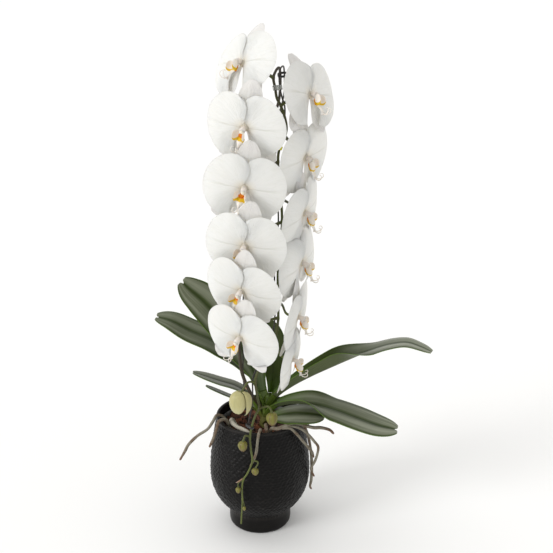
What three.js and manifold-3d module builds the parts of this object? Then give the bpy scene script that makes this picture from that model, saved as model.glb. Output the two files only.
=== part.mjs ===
// A white moth orchid trained as a cascade, resting in a dark footed pot.
// Millimetres, +Z up. The origin is the centre of the pot's flat base and the front faces -Y.

import * as THREE from "three";
import { LoftGeometry } from "three/addons/geometries/LoftGeometry.js";
import { mergeVertices } from "three/addons/utils/BufferGeometryUtils.js";
import Module from "manifold-3d";

const wasm = await Module();
wasm.setup();

// ---------------------------------------------------------------- driving dimensions

const SEAT_GAP = 0.35; // clearance where one piece rests against another

const POT_HEIGHT = 185;
const POT_WALL = 4.5;
const POT_FLOOR = 12;
const RIM_RADIUS = 66.5;
const BELLY_RADIUS = 78.2;
const BELLY_HEIGHT = 92;
const FOOT_RADIUS = 48.2;
const FOOT_HEIGHT = 22;
const BASE_RADIUS = 45;

const NURSERY_TOP_RADIUS = 60;
const NURSERY_BASE_RADIUS = 37;
const NURSERY_TOP = 171;
const NURSERY_WALL = 1.2;
const BARK_TOP = 163;
const CHIP_SIZE = 17;

const SCAPE_RADIUS = 2.6; // flower spike where it leaves the crown
const RACHIS_RADIUS = 1.8; // flower spike where it carries the blooms
const SPIKE_TIP_RADIUS = 1.2;
const STALK_RADIUS = 1.5;
const WIRE_RADIUS = 1.1;

const PETAL_REACH = 55;
const PETAL_THICKNESS = 0.9;
const DORSAL_LENGTH = 64;
const DORSAL_HALF_WIDTH = 17.5;
const LATERAL_LENGTH = 60;
const LATERAL_HALF_WIDTH = 17;
const HUB_RADIUS = 6;
const HUB_DEPTH = 3.9;
const COLUMN_LENGTH = 9;
const LIP_LENGTH = 22;

const LEAF_THICKNESS = 1.8;
const SHEATH_THICKNESS = 3.2;

// ---------------------------------------------------------------- small helpers

const V = (x, y, z) => new THREE.Vector3(x, y, z);
const rad = THREE.MathUtils.degToRad;
const mix = THREE.MathUtils.lerp;
const smooth = THREE.MathUtils.smoothstep;

// A repeatable run of numbers from 0 to 1.
function dice(seed) {
  let state = seed;
  return () => {
    state = (state * 16807) % 2147483647;
    return state / 2147483647;
  };
}

// A geometry with only its corner places, turned so that its faces point out.
function closed(geometry) {
  const bare = new THREE.BufferGeometry();
  bare.setAttribute("position", geometry.getAttribute("position").clone());
  bare.setIndex(geometry.index);
  const merged = mergeVertices(bare, 1e-4);
  const place = merged.getAttribute("position");
  const corners = merged.index.array;
  const [a, b, c] = [V(), V(), V()];
  let volume = 0;
  for (let i = 0; i < corners.length; i += 3) {
    a.fromBufferAttribute(place, corners[i]);
    b.fromBufferAttribute(place, corners[i + 1]);
    c.fromBufferAttribute(place, corners[i + 2]);
    volume += a.dot(b.cross(c));
  }
  if (volume < 0) {
    for (let i = 0; i < corners.length; i += 3) {
      [corners[i + 1], corners[i + 2]] = [corners[i + 2], corners[i + 1]];
    }
  }
  return merged;
}

function toSolid(geometry) {
  const shape = closed(geometry);
  return new wasm.Manifold(
    new wasm.Mesh({
      numProp: 3,
      vertProperties: shape.getAttribute("position").array,
      triVerts: new Uint32Array(shape.index.array),
    }),
  );
}

function toGeometry(solid) {
  const mesh = solid.getMesh();
  const geometry = new THREE.BufferGeometry();
  geometry.setAttribute("position", new THREE.Float32BufferAttribute(mesh.vertProperties, 3));
  geometry.setIndex(new THREE.Uint32BufferAttribute(mesh.triVerts, 1));
  return geometry;
}

const joined = (geometries) => geometries.map(toSolid).reduce((all, one) => all.add(one));
const fused = (geometries) => toGeometry(joined(geometries));

// A smooth path through hand-placed points.
const path = (points) => new THREE.CatmullRomCurve3(points.map((p) => V(...p)), false, "centripetal");

// Where a bar needs a ring: wherever its path has turned by enough or run on for long enough.
// held lists further shares of the path that get a ring in any case.
function stations(curve, turn, stride, held = []) {
  const length = curve.getLength();
  const fine = Math.ceil(length / 2);
  const clearOf = (share, others, room) => others.every((other) => Math.abs(share - other) * length > room);
  const found = [0];
  let last = curve.getTangentAt(0);
  for (let i = 1; i < fine; i++) {
    const share = i / fine;
    const tangent = curve.getTangentAt(share);
    const gone = (share - found.at(-1)) * length;
    const bent = tangent.angleTo(last) > rad(turn) && gone > 3;
    if ((bent || gone > stride) && clearOf(share, held, 4)) {
      found.push(share);
      last = tangent;
    }
  }
  if ((1 - found.at(-1)) * length < 4 && found.length > 1) found.pop();
  return [...found, ...held, 1].sort((a, b) => a - b);
}

// A round bar along a path; radius is a number or a function of the share of its length. beyond lengthens
// it at both ends.
function bar(curve, radius, { sides = 5, turn = 20, stride = 45, held = [], beyond = 0 } = {}) {
  const radiusAt = typeof radius === "function" ? radius : () => radius;
  const across = V(0.31, 0.87, 0.39);
  const sections = stations(curve, turn, stride, held).map((share) => {
    const centre = curve.getPointAt(share);
    const ahead = curve.getTangentAt(share);
    if (share === 0) centre.addScaledVector(ahead, -beyond);
    if (share === 1) centre.addScaledVector(ahead, beyond);
    across.addScaledVector(ahead, -across.dot(ahead)).normalize();
    const other = ahead.clone().cross(across);
    const ring = [];
    for (let k = 0; k < sides; k++) {
      const angle = (2 * Math.PI * k) / sides;
      const out = across.clone().multiplyScalar(Math.cos(angle)).addScaledVector(other, Math.sin(angle));
      ring.push(centre.clone().addScaledVector(out, radiusAt(share)));
    }
    return ring;
  });
  return new LoftGeometry(sections, { capStart: true, capEnd: true });
}

// A thin curved blade: middle(s, t) is its middle surface, with s from 0 at the root to 1 at the tip
// and t from -1 to 1 across. Both faces are split into triangles alike.
function blade(middle, across, along, thickness) {
  const thicknessAt = typeof thickness === "function" ? thickness : () => thickness;
  const grid = new THREE.PlaneGeometry(1, 1, across, along);
  const count = (across + 1) * (along + 1);
  const places = new Float32Array(count * 6);
  const step = 1e-3;
  for (let row = 0; row <= along; row++) {
    for (let column = 0; column <= across; column++) {
      const s = row / along;
      const t = (2 * column) / across - 1;
      const downward = middle(s + step, t).sub(middle(s - step, t));
      const sideways = middle(s, t + step).sub(middle(s, t - step));
      const half = downward.cross(sideways).setLength(thicknessAt(s, t) / 2);
      const index = row * (across + 1) + column;
      middle(s, t).add(half).toArray(places, index * 3);
      middle(s, t).sub(half).toArray(places, (count + index) * 3);
    }
  }
  const faces = [];
  const front = grid.index.array;
  for (let i = 0; i < front.length; i += 3) {
    const [a, b, c] = [front[i], front[i + 1], front[i + 2]];
    faces.push(a, b, c, a + count, c + count, b + count);
  }
  const rim = [];
  for (let row = 0; row < along; row++) rim.push(row * (across + 1));
  for (let column = 0; column < across; column++) rim.push(along * (across + 1) + column);
  for (let row = along; row > 0; row--) rim.push(row * (across + 1) + across);
  for (let column = across; column > 0; column--) rim.push(column);
  rim.forEach((p, i) => {
    const q = rim[(i + 1) % rim.length];
    faces.push(q, p, p + count, q, p + count, q + count);
  });
  const geometry = new THREE.BufferGeometry();
  geometry.setAttribute("position", new THREE.Float32BufferAttribute(places, 3));
  geometry.setIndex(faces);
  return geometry;
}

const plant = new THREE.Group();

function place(name, geometry, finish) {
  const mesh = new THREE.Mesh(closed(geometry), finish.clone());
  mesh.name = name;
  plant.add(mesh);
  return mesh;
}

function finish(color, roughness, metalness = 0) {
  return new THREE.MeshStandardMaterial({ color, roughness, metalness });
}

const FINISH = {
  pot: finish("#2b2a28", 0.55),
  nursery: finish("#5c5d5b", 0.4),
  bark: finish("#6b3c28", 0.9),
  crown: finish("#3e6a1c", 0.5),
  leaf: finish("#3f4a28", 0.42),
  spike: finish("#5c6428", 0.55),
  wire: finish("#26211f", 0.5, 0.2),
  root: finish("#a09a8a", 0.85),
  petal: finish("#f4f4f0", 0.6),
  lip: finish("#e8b030", 0.5),
  bud: finish("#a9ae5e", 0.55),
  clipDark: finish("#1c1c1c", 0.45),
  clipClear: finish("#d8dad8", 0.25),
  clipYellow: finish("#e6df2a", 0.4),
  bract: finish("#b9805a", 0.8),
};

// ---------------------------------------------------------------- pot, inner pot and bark

// Half outline of the pot's outside from its base to its rim.
function potOutline() {
  const outline = [V(0, 0), V(BASE_RADIUS, 0), V(FOOT_RADIUS - 0.6, 3), V(FOOT_RADIUS, 10)];
  outline.push(V(FOOT_RADIUS, FOOT_HEIGHT));
  const bowlCentre = 20;
  const roundness = 2.1;
  const turns = 6;
  for (let i = 1; i <= turns; i++) {
    const angle = (Math.PI / 2) * (1 - i / turns);
    const radius = bowlCentre + (BELLY_RADIUS - bowlCentre) * Math.cos(angle) ** (2 / roundness);
    const height = BELLY_HEIGHT - (BELLY_HEIGHT - FOOT_HEIGHT) * Math.sin(angle) ** (2 / roundness);
    if (radius > FOOT_RADIUS + 1) outline.push(V(radius, height));
  }
  const shoulders = 4;
  for (let i = 1; i <= shoulders; i++) {
    const share = i / shoulders;
    const radius = BELLY_RADIUS - (BELLY_RADIUS - RIM_RADIUS) * share ** 1.6;
    outline.push(V(radius, mix(BELLY_HEIGHT, POT_HEIGHT - 1.5, share)));
  }
  return outline;
}

function addPot() {
  const outside = potOutline();
  const rim = [V(RIM_RADIUS - 0.9, POT_HEIGHT), V(RIM_RADIUS - POT_WALL + 0.9, POT_HEIGHT)];
  const inside = outside
    .filter((p, i) => p.y > FOOT_HEIGHT + 2 && i % 3 === 0)
    .map((p) => V(p.x - POT_WALL, p.y))
    .reverse();
  const well = [V(FOOT_RADIUS - POT_WALL, FOOT_HEIGHT), V(FOOT_RADIUS - POT_WALL - 1, POT_FLOOR)];
  const profile = [...outside, ...rim, ...inside, ...well, V(0, POT_FLOOR)];
  place("pot", standing(new THREE.LatheGeometry(profile, 24)), FINISH.pot);
}

// A lathe turns about Y; this stands it up on Z.
function standing(lathe) {
  return lathe.rotateX(Math.PI / 2);
}

function nurseryRadius(height) {
  const share = (height - POT_FLOOR) / (NURSERY_TOP - POT_FLOOR);
  return mix(NURSERY_BASE_RADIUS, NURSERY_TOP_RADIUS, share);
}

function addNurseryPot() {
  const base = POT_FLOOR + SEAT_GAP;
  const lip = 1.4;
  const profile = [
    V(0, base),
    V(NURSERY_BASE_RADIUS, base),
    V(NURSERY_TOP_RADIUS, NURSERY_TOP - 5),
    V(NURSERY_TOP_RADIUS + lip, NURSERY_TOP - 5),
    V(NURSERY_TOP_RADIUS + lip, NURSERY_TOP),
    V(NURSERY_TOP_RADIUS - NURSERY_WALL, NURSERY_TOP),
    V(NURSERY_BASE_RADIUS - NURSERY_WALL, base + NURSERY_WALL),
    V(0, base + NURSERY_WALL),
  ];
  place("nursery_pot", standing(new THREE.LatheGeometry(profile, 18)), FINISH.nursery);
}

// One bark chip: a box with its corners knocked about.
function chip(roll, size) {
  const box = new THREE.BoxGeometry(size * mix(0.7, 1.3, roll()), size * mix(0.5, 0.9, roll()), size * 0.5);
  const shape = closed(box);
  const corners = shape.getAttribute("position");
  for (let i = 0; i < corners.count; i++) {
    const nudge = () => (roll() - 0.5) * size * 0.28;
    corners.setXYZ(i, corners.getX(i) + nudge(), corners.getY(i) + nudge(), corners.getZ(i) + nudge());
  }
  shape.rotateX((roll() - 0.5) * 1.2);
  shape.rotateY((roll() - 0.5) * 1.2);
  shape.rotateZ(roll() * Math.PI);
  return shape;
}

// The bed fills the inner pot; its top is chips in rings, fused into it and cut back to the wall.
function addBarkBed(holes) {
  const base = POT_FLOOR + SEAT_GAP + NURSERY_WALL;
  const inside = (height) => nurseryRadius(height) - NURSERY_WALL - 0.7;
  const fill = [V(0, base + SEAT_GAP), V(inside(base) - 0.2, base + SEAT_GAP)];
  fill.push(V(inside(BARK_TOP), BARK_TOP), V(0, BARK_TOP));
  const room = [V(inside(NURSERY_TOP), NURSERY_TOP), V(inside(NURSERY_TOP), POT_HEIGHT), V(0, POT_HEIGHT)];
  const roll = dice(41);
  const rings = [
    { radius: 49, chips: 10 },
    { radius: 33, chips: 6 },
    { radius: 18, chips: 3 },
  ];
  let bed = toSolid(standing(new THREE.LatheGeometry(fill, 18)));
  for (const ring of rings) {
    for (let i = 0; i < ring.chips; i++) {
      const angle = (2 * Math.PI * (i + 0.6 * roll())) / ring.chips;
      const out = ring.radius + (roll() - 0.5) * 5;
      const shape = chip(roll, CHIP_SIZE * mix(0.85, 1.25, roll()));
      shape.translate(Math.cos(angle) * out, Math.sin(angle) * out, BARK_TOP + roll() * 4);
      bed = bed.add(toSolid(shape));
    }
  }
  bed = bed.intersect(toSolid(standing(new THREE.LatheGeometry([...fill.slice(0, 2), ...room], 18))));
  for (const hole of holes) bed = bed.subtract(toSolid(hole));
  const whole = bed.decompose().sort((a, b) => b.volume() - a.volume())[0];
  place("bark_bed", toGeometry(whole), FINISH.bark);
}

// ---------------------------------------------------------------- crown and leaves

// Each leaf runs from the stem along its route. Its lower share is the sheath that stays on the crown,
// and the blade begins past a hairline gap, where a real leaf breaks off. face says where the upper
// side looks at the root and at the tip, and fold how steeply both halves rise from the midrib.
const LEAVES = [
  {
    name: "leaf_a",
    route: [
      [9, 0, 184], [3, 2, 208], [-4, 4, 229], [-11, 6, 255], [-23, 8, 281], [-38, 11, 306],
      [-56, 14, 330], [-74, 17, 352], [-88, 20, 366], [-103, 22, 379], [-116, 24, 392],
    ],
    width: 31,
    face: [[0.6, -0.4, 0.7], [0.3, -0.9, 0.4]],
    fold: [56, 16],
    sheath: 0.15,
    notch: 5,
  },
  {
    name: "leaf_b",
    route: [
      [5, 7, 176], [1, 13, 197], [-3, 17, 215], [-9, 19.5, 234], [-21, 20, 252], [-36, 26, 268],
      [-55, 33, 280], [-77, 40, 291], [-108, 46, 303], [-138, 50, 318], [-160, 52, 324],
    ],
    width: 27.5,
    face: [[0.6, -0.3, 0.8], [0.1, -0.4, 1]],
    fold: [56, 14],
    sheath: 0.15,
    notch: 5,
  },
  {
    name: "leaf_c",
    route: [
      [4, 0, 176], [-4, 1, 192], [-12, 3, 206], [-24, 5, 219], [-39, 7, 228], [-60, 9, 234],
      [-83, 10, 242], [-102, 10, 249],
    ],
    width: 20,
    face: [[0.4, 0.1, 1], [0, 0.1, 1]],
    fold: [48, 14],
    sheath: 0.25,
    notch: 3,
  },
  {
    name: "leaf_d",
    route: [
      [4, 9, 172], [-8, 15, 184], [-26, 21, 195], [-54, 25, 206], [-84, 27, 219],
    ],
    width: 15,
    face: [[0.3, 0.5, 1], [0.1, 0.5, 1]],
    fold: [40, 8],
    sheath: 0.27,
    notch: 2,
  },
  {
    name: "leaf_e",
    route: [
      [12, 0, 190], [28, -1, 214], [50, 0, 231], [80, 3, 247], [106, 5, 259], [134, 6, 272],
      [170, 4, 289], [200, -2, 301], [221, -7, 305], [240, -13, 301], [256, -20, 296],
    ],
    width: 31,
    face: [[-0.5, 0.1, 1], [-0.05, 0.1, 1]],
    fold: [62, 12],
    unfoldFrom: 0.45,
    narrowFrom: 0.45,
    sheath: 0.1,
    notch: 0,
  },
  {
    name: "leaf_f",
    route: [
      [12, -3, 180], [24, -8, 198], [42, -13, 207], [76, -22, 211], [112, -31, 206],
      [146, -40, 197], [178, -47, 188], [206, -52, 184],
    ],
    width: 33,
    face: [[-0.2, 0.1, 1], [0.35, -0.25, 1]],
    fold: [48, 12],
    unfoldFrom: 0.3,
    sheath: 0.13,
    notch: 5,
  },
  {
    name: "leaf_g",
    route: [
      [10, -8, 172], [20, -18, 186], [34, -26.5, 195], [56, -33, 201], [80, -40, 203], [98, -44, 202],
    ],
    width: 26,
    face: [[-0.2, -0.1, 1], [0, -0.15, 1]],
    fold: [40, 8],
    sheath: 0.2,
    notch: 2,
  },
  {
    name: "leaf_h",
    route: [
      [14, 10, 198], [19, 19, 222], [22, 26, 250], [20, 31, 286], [12, 36, 324],
    ],
    width: 22,
    face: [[0.25, -1, 0.2], [0.3, -1, 0.3]],
    fold: [52, 24],
    sheath: 0.12,
    notch: 2,
  },
];

// Half-width of a leaf along its length: narrow where it is folded, widest past the middle.
function leafHalfWidth(leaf, s) {
  const swell = mix(0.36, 1, smooth(s, 0, 0.55));
  const tip = leaf.narrowFrom ?? 0.62;
  const rounding = s > tip ? Math.sqrt(Math.max(0, 1 - ((s - tip) / (1.012 - tip)) ** 2.6)) : 1;
  return leaf.width * swell * rounding;
}

function leafSurface(leaf) {
  const route = path(leaf.route);
  const length = route.getLength();
  const [rootFace, tipFace] = leaf.face.map((f) => V(...f));
  return (s, t) => {
    const notch = (leaf.notch / length) * Math.exp(-((t / 0.22) ** 2)) * smooth(s, 0.8, 1);
    const share = THREE.MathUtils.clamp(s - notch, 0, 1);
    const centre = route.getPointAt(share);
    const ahead = route.getTangentAt(share);
    if (s > 1) centre.addScaledVector(ahead, (s - 1) * length);
    if (s < 0) centre.addScaledVector(ahead, s * length);
    const up = rootFace.clone().lerp(tipFace, THREE.MathUtils.clamp(s, 0, 1));
    up.addScaledVector(ahead, -up.dot(ahead)).normalize();
    const side = ahead.clone().cross(up);
    const unfolding = smooth(s, leaf.unfoldFrom ?? 0, (leaf.unfoldFrom ?? 0.3) + 0.25);
    const fold = rad(mix(leaf.fold[0], leaf.fold[1], unfolding));
    const half = leafHalfWidth(leaf, s);
    const rise = Math.sqrt(t * t + 0.01) - 0.1;
    const droop = 0.16 * t * t * Math.cos(fold);
    centre.addScaledVector(side, half * t * Math.cos(fold));
    return centre.addScaledVector(up, half * (rise * Math.sin(fold) - droop));
  };
}

// The stretch of a leaf from one share of its length to another, as a solid.
function leafPiece(leaf, from, to, across, along, thickness) {
  const surface = leafSurface(leaf);
  return blade((s, t) => surface(mix(from, to, s), t), across, along, thickness);
}

function addLeaves() {
  for (const leaf of LEAVES) {
    const length = path(leaf.route).getLength();
    const from = leaf.sheath + SEAT_GAP / length;
    const along = Math.round(length / 28) + 2;
    const thickness = (s, t) => LEAF_THICKNESS * (1 - 0.45 * t * t);
    place(leaf.name, leafPiece(leaf, from, 1, 4, along, thickness), FINISH.leaf);
  }
}

const STEM = [[7, 0, 150], [9, 1, 176], [11, 2, 200], [12, 4, 214]];
const stemRadius = (share) => mix(10, 5, share);

function addCrown() {
  const stem = bar(path(STEM), stemRadius, { sides: 6 });
  const thickness = (s, t) => SHEATH_THICKNESS * (1 - 0.3 * t * t);
  const sheaths = LEAVES.map((leaf) => leafPiece(leaf, 0, leaf.sheath, 2, 1, thickness));
  place("crown", fused([stem, ...sheaths]), FINISH.crown);
}

// ---------------------------------------------------------------- flower spike and its wire

// Up from the crown, over the arch and down in front of the pot.
const SPIKE = [
  [2, -10, 202], [-6, -20, 218], [-15, -28, 238], [-25, -31, 268], [-29, -26, 305], [-30, -16, 360],
  [-24, -4, 430], [-13, 5, 505], [3, 9, 575], [19, 4, 630], [29, -8, 664], [31, -20, 684], [31, -32, 702],
  [29.5, -45, 713], [25.5, -56, 711], [22, -65, 702.3], [24.3, -70, 690], [26.6, -72, 677], [31.6, -73, 667.8],
  [39.1, -75, 637.6], [29.3, -78, 609.6], [28, -79, 594.6], [33.4, -85, 516.9], [28, -89, 446.1],
  [26.7, -92, 360.7], [14.1, -93, 323.4], [-3.2, -93, 288.1], [-1.7, -91.5, 260.8], [1.4, -90, 238.9],
  [-3.7, -89, 228.4], [-10, -88, 207.4], [-12.4, -88, 191], [-11.2, -87.5, 170.3], [-9.4, -87, 150.9],
  [-17.4, -86, 129.6], [-22.9, -85.5, 120], [-25.1, -85, 103.7], [-24.7, -84, 82.5], [-26.4, -83, 57.7],
  [-27.2, -82, 41.4],
];

const spikePath = path(SPIKE);

// Where the clips hold the spike to its wire.
const CLIPS = [
  { name: "clip_top", at: [31, -32, 702], height: 4, wall: 1.2, look: FINISH.clipDark },
  { name: "clip_ring", at: [24.3, -70, 690], height: 6, wall: 0.7, look: FINISH.clipClear },
  { name: "clip_band", at: [30.5, -77.7, 613], height: 5, wall: 0.8, look: FINISH.clipYellow },
  { name: "clip_low", at: [-10, -88, 207.4], height: 3.5, wall: 1.1, look: FINISH.clipDark },
];

// The share of a path's length whose point is nearest to a place.
function nearest(curve, place) {
  const steps = 2000;
  let best = 0;
  for (let i = 1; i <= steps; i++) {
    const nearer = curve.getPointAt(i / steps).distanceTo(place) < curve.getPointAt(best).distanceTo(place);
    if (nearer) best = i / steps;
  }
  return best;
}

// The shares of a path that lie at both ends of each clip.
function clipEnds(curve) {
  const length = curve.getLength();
  return CLIPS.flatMap((clip) => {
    const share = nearest(curve, V(...clip.at));
    const half = clip.height / 2 / length;
    return [share - half, share + half];
  });
}

function spikeRadius(share) {
  const arch = 0.45;
  if (share < arch) return mix(SCAPE_RADIUS, RACHIS_RADIUS, smooth(share, 0.2, arch));
  return mix(RACHIS_RADIUS, SPIKE_TIP_RADIUS, smooth(share, 0.8, 1));
}

// The blooms. at is the middle of a bloom and node the place on the spike that its stalk leaves from.
// pose turns it to the right, tilts it downwards and leans its petals to the right, in degrees. form
// leans its top sepal by crest more degrees, bends its petals back by swept degrees towards their sides and
// by tops degrees towards their tops, and bends the tip of its top sepal back by so many millimetres. size
// is its share of the full size.
const BLOOMS = [
  {
    name: "l1",
    at: [-18.3, -72, 722.1],
    node: [22, -65, 702.3],
    pose: { turn: -47, tilt: -28, lean: -10 },
    form: { crest: 6, swept: 9, back: 10 },
    size: 0.95,
  },
  {
    name: "l2",
    at: [-14.3, -104, 644.8],
    node: [32.5, -74, 659.7],
    pose: { turn: -21, tilt: 11, lean: 6 },
    form: { crest: 8, swept: 6, back: 3 },
  },
  {
    name: "l3",
    at: [-15.6, -115, 568.2],
    node: [28, -79, 594.6],
    pose: { turn: -5, tilt: 10, lean: 9 },
    form: { crest: 0, swept: 4, back: 3 },
  },
  {
    name: "l4",
    at: [-15.2, -126, 493.1],
    node: [33.4, -85, 514.2],
    pose: { turn: -14, tilt: 11, lean: 5 },
    form: { crest: 6, swept: 7, back: 3 },
  },
  {
    name: "l5",
    at: [-20.1, -137, 434.5],
    node: [28.7, -89, 450.4],
    pose: { turn: -26, tilt: 16, lean: 12 },
    form: { crest: 2, swept: 9, back: 3 },
  },
  {
    name: "l6",
    at: [-22.5, -147, 371.7],
    node: [27.1, -91.5, 378.4],
    pose: { turn: -30, tilt: 15, lean: 12 },
    form: { crest: 6, swept: 9, back: 3, sideBack: 1 },
  },
  {
    name: "r1",
    at: [70.5, -62, 679.9],
    node: [31.6, -73, 667.8],
    pose: { turn: 51, tilt: -14, lean: 10 },
    form: { crest: -10, swept: 4, back: 20 },
    size: 0.95,
  },
  {
    name: "r2",
    at: [65.6, -57.4, 596.4],
    node: [38, -76.5, 627],
    pose: { turn: 56, tilt: 11, lean: -6 },
    form: { crest: -4, swept: 3, back: 12.5, tops: 4 },
  },
  {
    name: "r3",
    at: [65.6, -53, 518.4],
    node: [32, -83, 545],
    pose: { turn: 65, tilt: 12.5, lean: -15 },
    form: { crest: 0, swept: 9, back: 7, tops: 1.5 },
  },
  {
    name: "r4",
    at: [62.5, -53, 446.5],
    node: [31, -87, 480],
    pose: { turn: 64, tilt: 13, lean: -15 },
    form: { crest: 0, swept: 9, back: 7, tops: 9 },
  },
  {
    name: "r5",
    at: [57, -56, 366.4],
    node: [27.3, -90.5, 404],
    pose: { turn: 75, tilt: 14, lean: -12 },
    form: { crest: 0, swept: 3, back: 6, tops: 4 },
  },
  {
    name: "r6",
    at: [49.5, -58, 299.5],
    node: [20, -92.7, 340],
    pose: { turn: 75, tilt: 15, lean: -12 },
    form: { crest: 0, swept: 4, back: -3, tops: 9 },
    size: 0.88,
  },
];

// The turned frame of a bloom, whose own front is -Y and whose own top is +Z.
function bloomFrame(bloom) {
  const turned = new THREE.Euler(rad(bloom.pose.tilt), rad(bloom.pose.lean), rad(bloom.pose.turn), "ZXY");
  return new THREE.Matrix4().makeRotationFromEuler(turned).setPosition(...bloom.at);
}

const BUDS = [
  {
    name: "bud_1",
    at: [-23.4, -105, 254.5],
    size: [15, 12, 19],
    node: [-3.2, -92.5, 281],
    knee: [-14, -99, 284],
  },
  {
    name: "bud_2",
    at: [20, -99, 226.4],
    size: [8.5, 8.5, 10.5],
    node: [1.4, -90, 239],
    knee: [15, -95, 244],
  },
  {
    name: "bud_3",
    at: [-22.5, -95, 180.5],
    size: [7, 7, 8.5],
    node: [-12.4, -88, 192],
    knee: [-19, -92, 196],
  },
  {
    name: "bud_4",
    at: [-5, -94, 138],
    size: [5.4, 5.4, 6],
    node: [-10, -87.2, 153],
    knee: [-1, -91, 152],
  },
  {
    name: "bud_5",
    at: [-30.5, -87, 102.7],
    size: [4, 4, 5.2],
    node: [-23.2, -85.5, 119],
    knee: [-30.5, -86.5, 114],
  },
  {
    name: "bud_6",
    at: [-22, -88, 72],
    size: [2.6, 2.6, 3.6],
    node: [-24.8, -84, 85],
    knee: [-22.5, -87, 81],
  },
];

// The root of a stalk, sunk into the spike at its node.
const sunk = (node, next) => node.clone().addScaledVector(next.clone().sub(node).normalize(), -SPIKE_TIP_RADIUS);

// A bloom's stalk leaves the spike and meets the back of the bloom square on.
function bloomStalk(bloom) {
  const frame = bloomFrame(bloom);
  const end = V(0, HUB_DEPTH + SEAT_GAP, 0).applyMatrix4(frame);
  const before = V(0, HUB_RADIUS + 9, 1).applyMatrix4(frame);
  const node = V(...bloom.node);
  const middle = node.clone().lerp(before, 0.5).add(V(0, 0, 3));
  const curve = new THREE.CatmullRomCurve3([sunk(node, middle), middle, before, end], false, "centripetal");
  return bar(curve, (s) => STALK_RADIUS * (1.6 - 1.9 * s + 1.7 * s * s), { sides: 4, turn: 32 });
}

function budStalk(bud) {
  const top = V(bud.at[0], bud.at[1], bud.at[2] + bud.size[2] * 0.93 + 2 * SEAT_GAP);
  const node = V(...bud.node);
  const knee = V(...bud.knee);
  const curve = new THREE.CatmullRomCurve3([sunk(node, knee), knee, top], false, "centripetal");
  const thin = Math.min(STALK_RADIUS, bud.size[0] * 0.22);
  return bar(curve, thin, { sides: 4, turn: 30 });
}

function addSpike() {
  const held = [...clipEnds(spikePath), ...BUDS.map((bud) => nearest(spikePath, V(...bud.node)))];
  const stem = bar(spikePath, spikeRadius, { turn: 22, stride: 60, held });
  const stalks = [...BLOOMS.map(bloomStalk), ...BUDS.map(budStalk)];
  place("flower_spike", fused([stem, ...stalks]), FINISH.spike);
}

// The wire stands in the bark, runs beside the spike and ends at the lowest clip.
const WIRE = [
  [-16, -6, 120], [-18, -14, 180], [-22, -20, 230], [-24, -23, 268], [-23, -17, 305], [-23.5, -8, 360],
  [-18, 3.5, 430], [-7.5, 12.5, 505], [8, 15.5, 575], [24.5, 9.5, 630], [34.5, -5, 664], [36.5, -18, 684],
  [36.5, -31, 702], [35, -45, 715], [31, -57, 713], [29.5, -62, 704], [30.5, -64.5, 690], [33, -65, 678],
  [36.5, -64.5, 667], [37, -66.5, 655], [34.5, -70.5, 637.6], [25.5, -73.5, 609.6], [24, -74.5, 594.6],
  [28.5, -80.5, 516.9], [23.5, -84.5, 446.1], [22, -87.5, 360.7], [9, -88.5, 323.4], [-7, -88, 287],
  [-8, -86.5, 261.3], [-9.5, -85.5, 240], [-13.5, -83.5, 217.3], [-16, -82.5, 203],
];

const wirePath = path(WIRE);

function addWire() {
  place("support_wire", bar(wirePath, WIRE_RADIUS, { sides: 4, turn: 22, stride: 60, held: clipEnds(wirePath) }), FINISH.wire);
}

// ---------------------------------------------------------------- blooms

// The sepals stand in a layer this far behind the petals.
const SEPAL_LAYER = 2.4;
const LATERAL_SPREAD = 142; // degrees from the top sepal to either side sepal
const LATERAL_BACK = 7; // how far a side sepal's tip bends back

// One broad petal, spread as a fan from the hub. side is -1 for the left petal and 1 for the right.
function petalSurface(side, swept, tops) {
  const rise = 3;
  const neck = 3;
  return (s, t) => {
    const fan = Math.sin((t * Math.PI) / 2);
    const spread = fan > 0 ? mix(77, 84, s) : -mix(45, 75, s);
    const angle = rad(rise + Math.abs(fan) * spread);
    const rounding = fan > 0 ? 17 * fan ** 4 : 12 * fan ** 4;
    const reach = neck + (PETAL_REACH - rounding - neck) * s;
    const crease = 1.6 * Math.exp(-((t / 0.2) ** 2)) * s * (1 - 0.5 * s);
    const bulge = 4.5 * Math.sin(Math.PI * Math.min(1, s) * 0.85);
    const outward = reach * Math.cos(angle);
    const upward = reach * Math.sin(angle);
    const back = (Math.tan(rad(swept)) * outward + Math.tan(rad(tops)) * Math.max(0, upward)) * s;
    return V(side * outward, crease + back - bulge, upward);
  };
}

// One narrow sepal along a direction given in degrees from straight up.
function sepalSurface(direction, length, halfWidth, back) {
  const angle = rad(direction);
  const ahead = V(Math.sin(angle), 0, Math.cos(angle));
  const side = V(Math.cos(angle), 0, -Math.sin(angle));
  const reach = Math.sqrt(length ** 2 - back ** 2);
  return (s, t) => {
    const half = mix(2.4, halfWidth, smooth(s, 0, 0.6));
    const rounding = s > 0.55 ? Math.sqrt(Math.max(0.02, 1 - ((s - 0.55) / 0.465) ** 2)) : 1;
    const point = ahead.clone().multiplyScalar(1 + (reach - 1) * s);
    point.addScaledVector(side, half * rounding * t);
    point.y = SEPAL_LAYER + back * s * s + 2.2 * t * t * Math.sin(Math.PI * Math.min(1, s));
    return point;
  };
}

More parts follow.
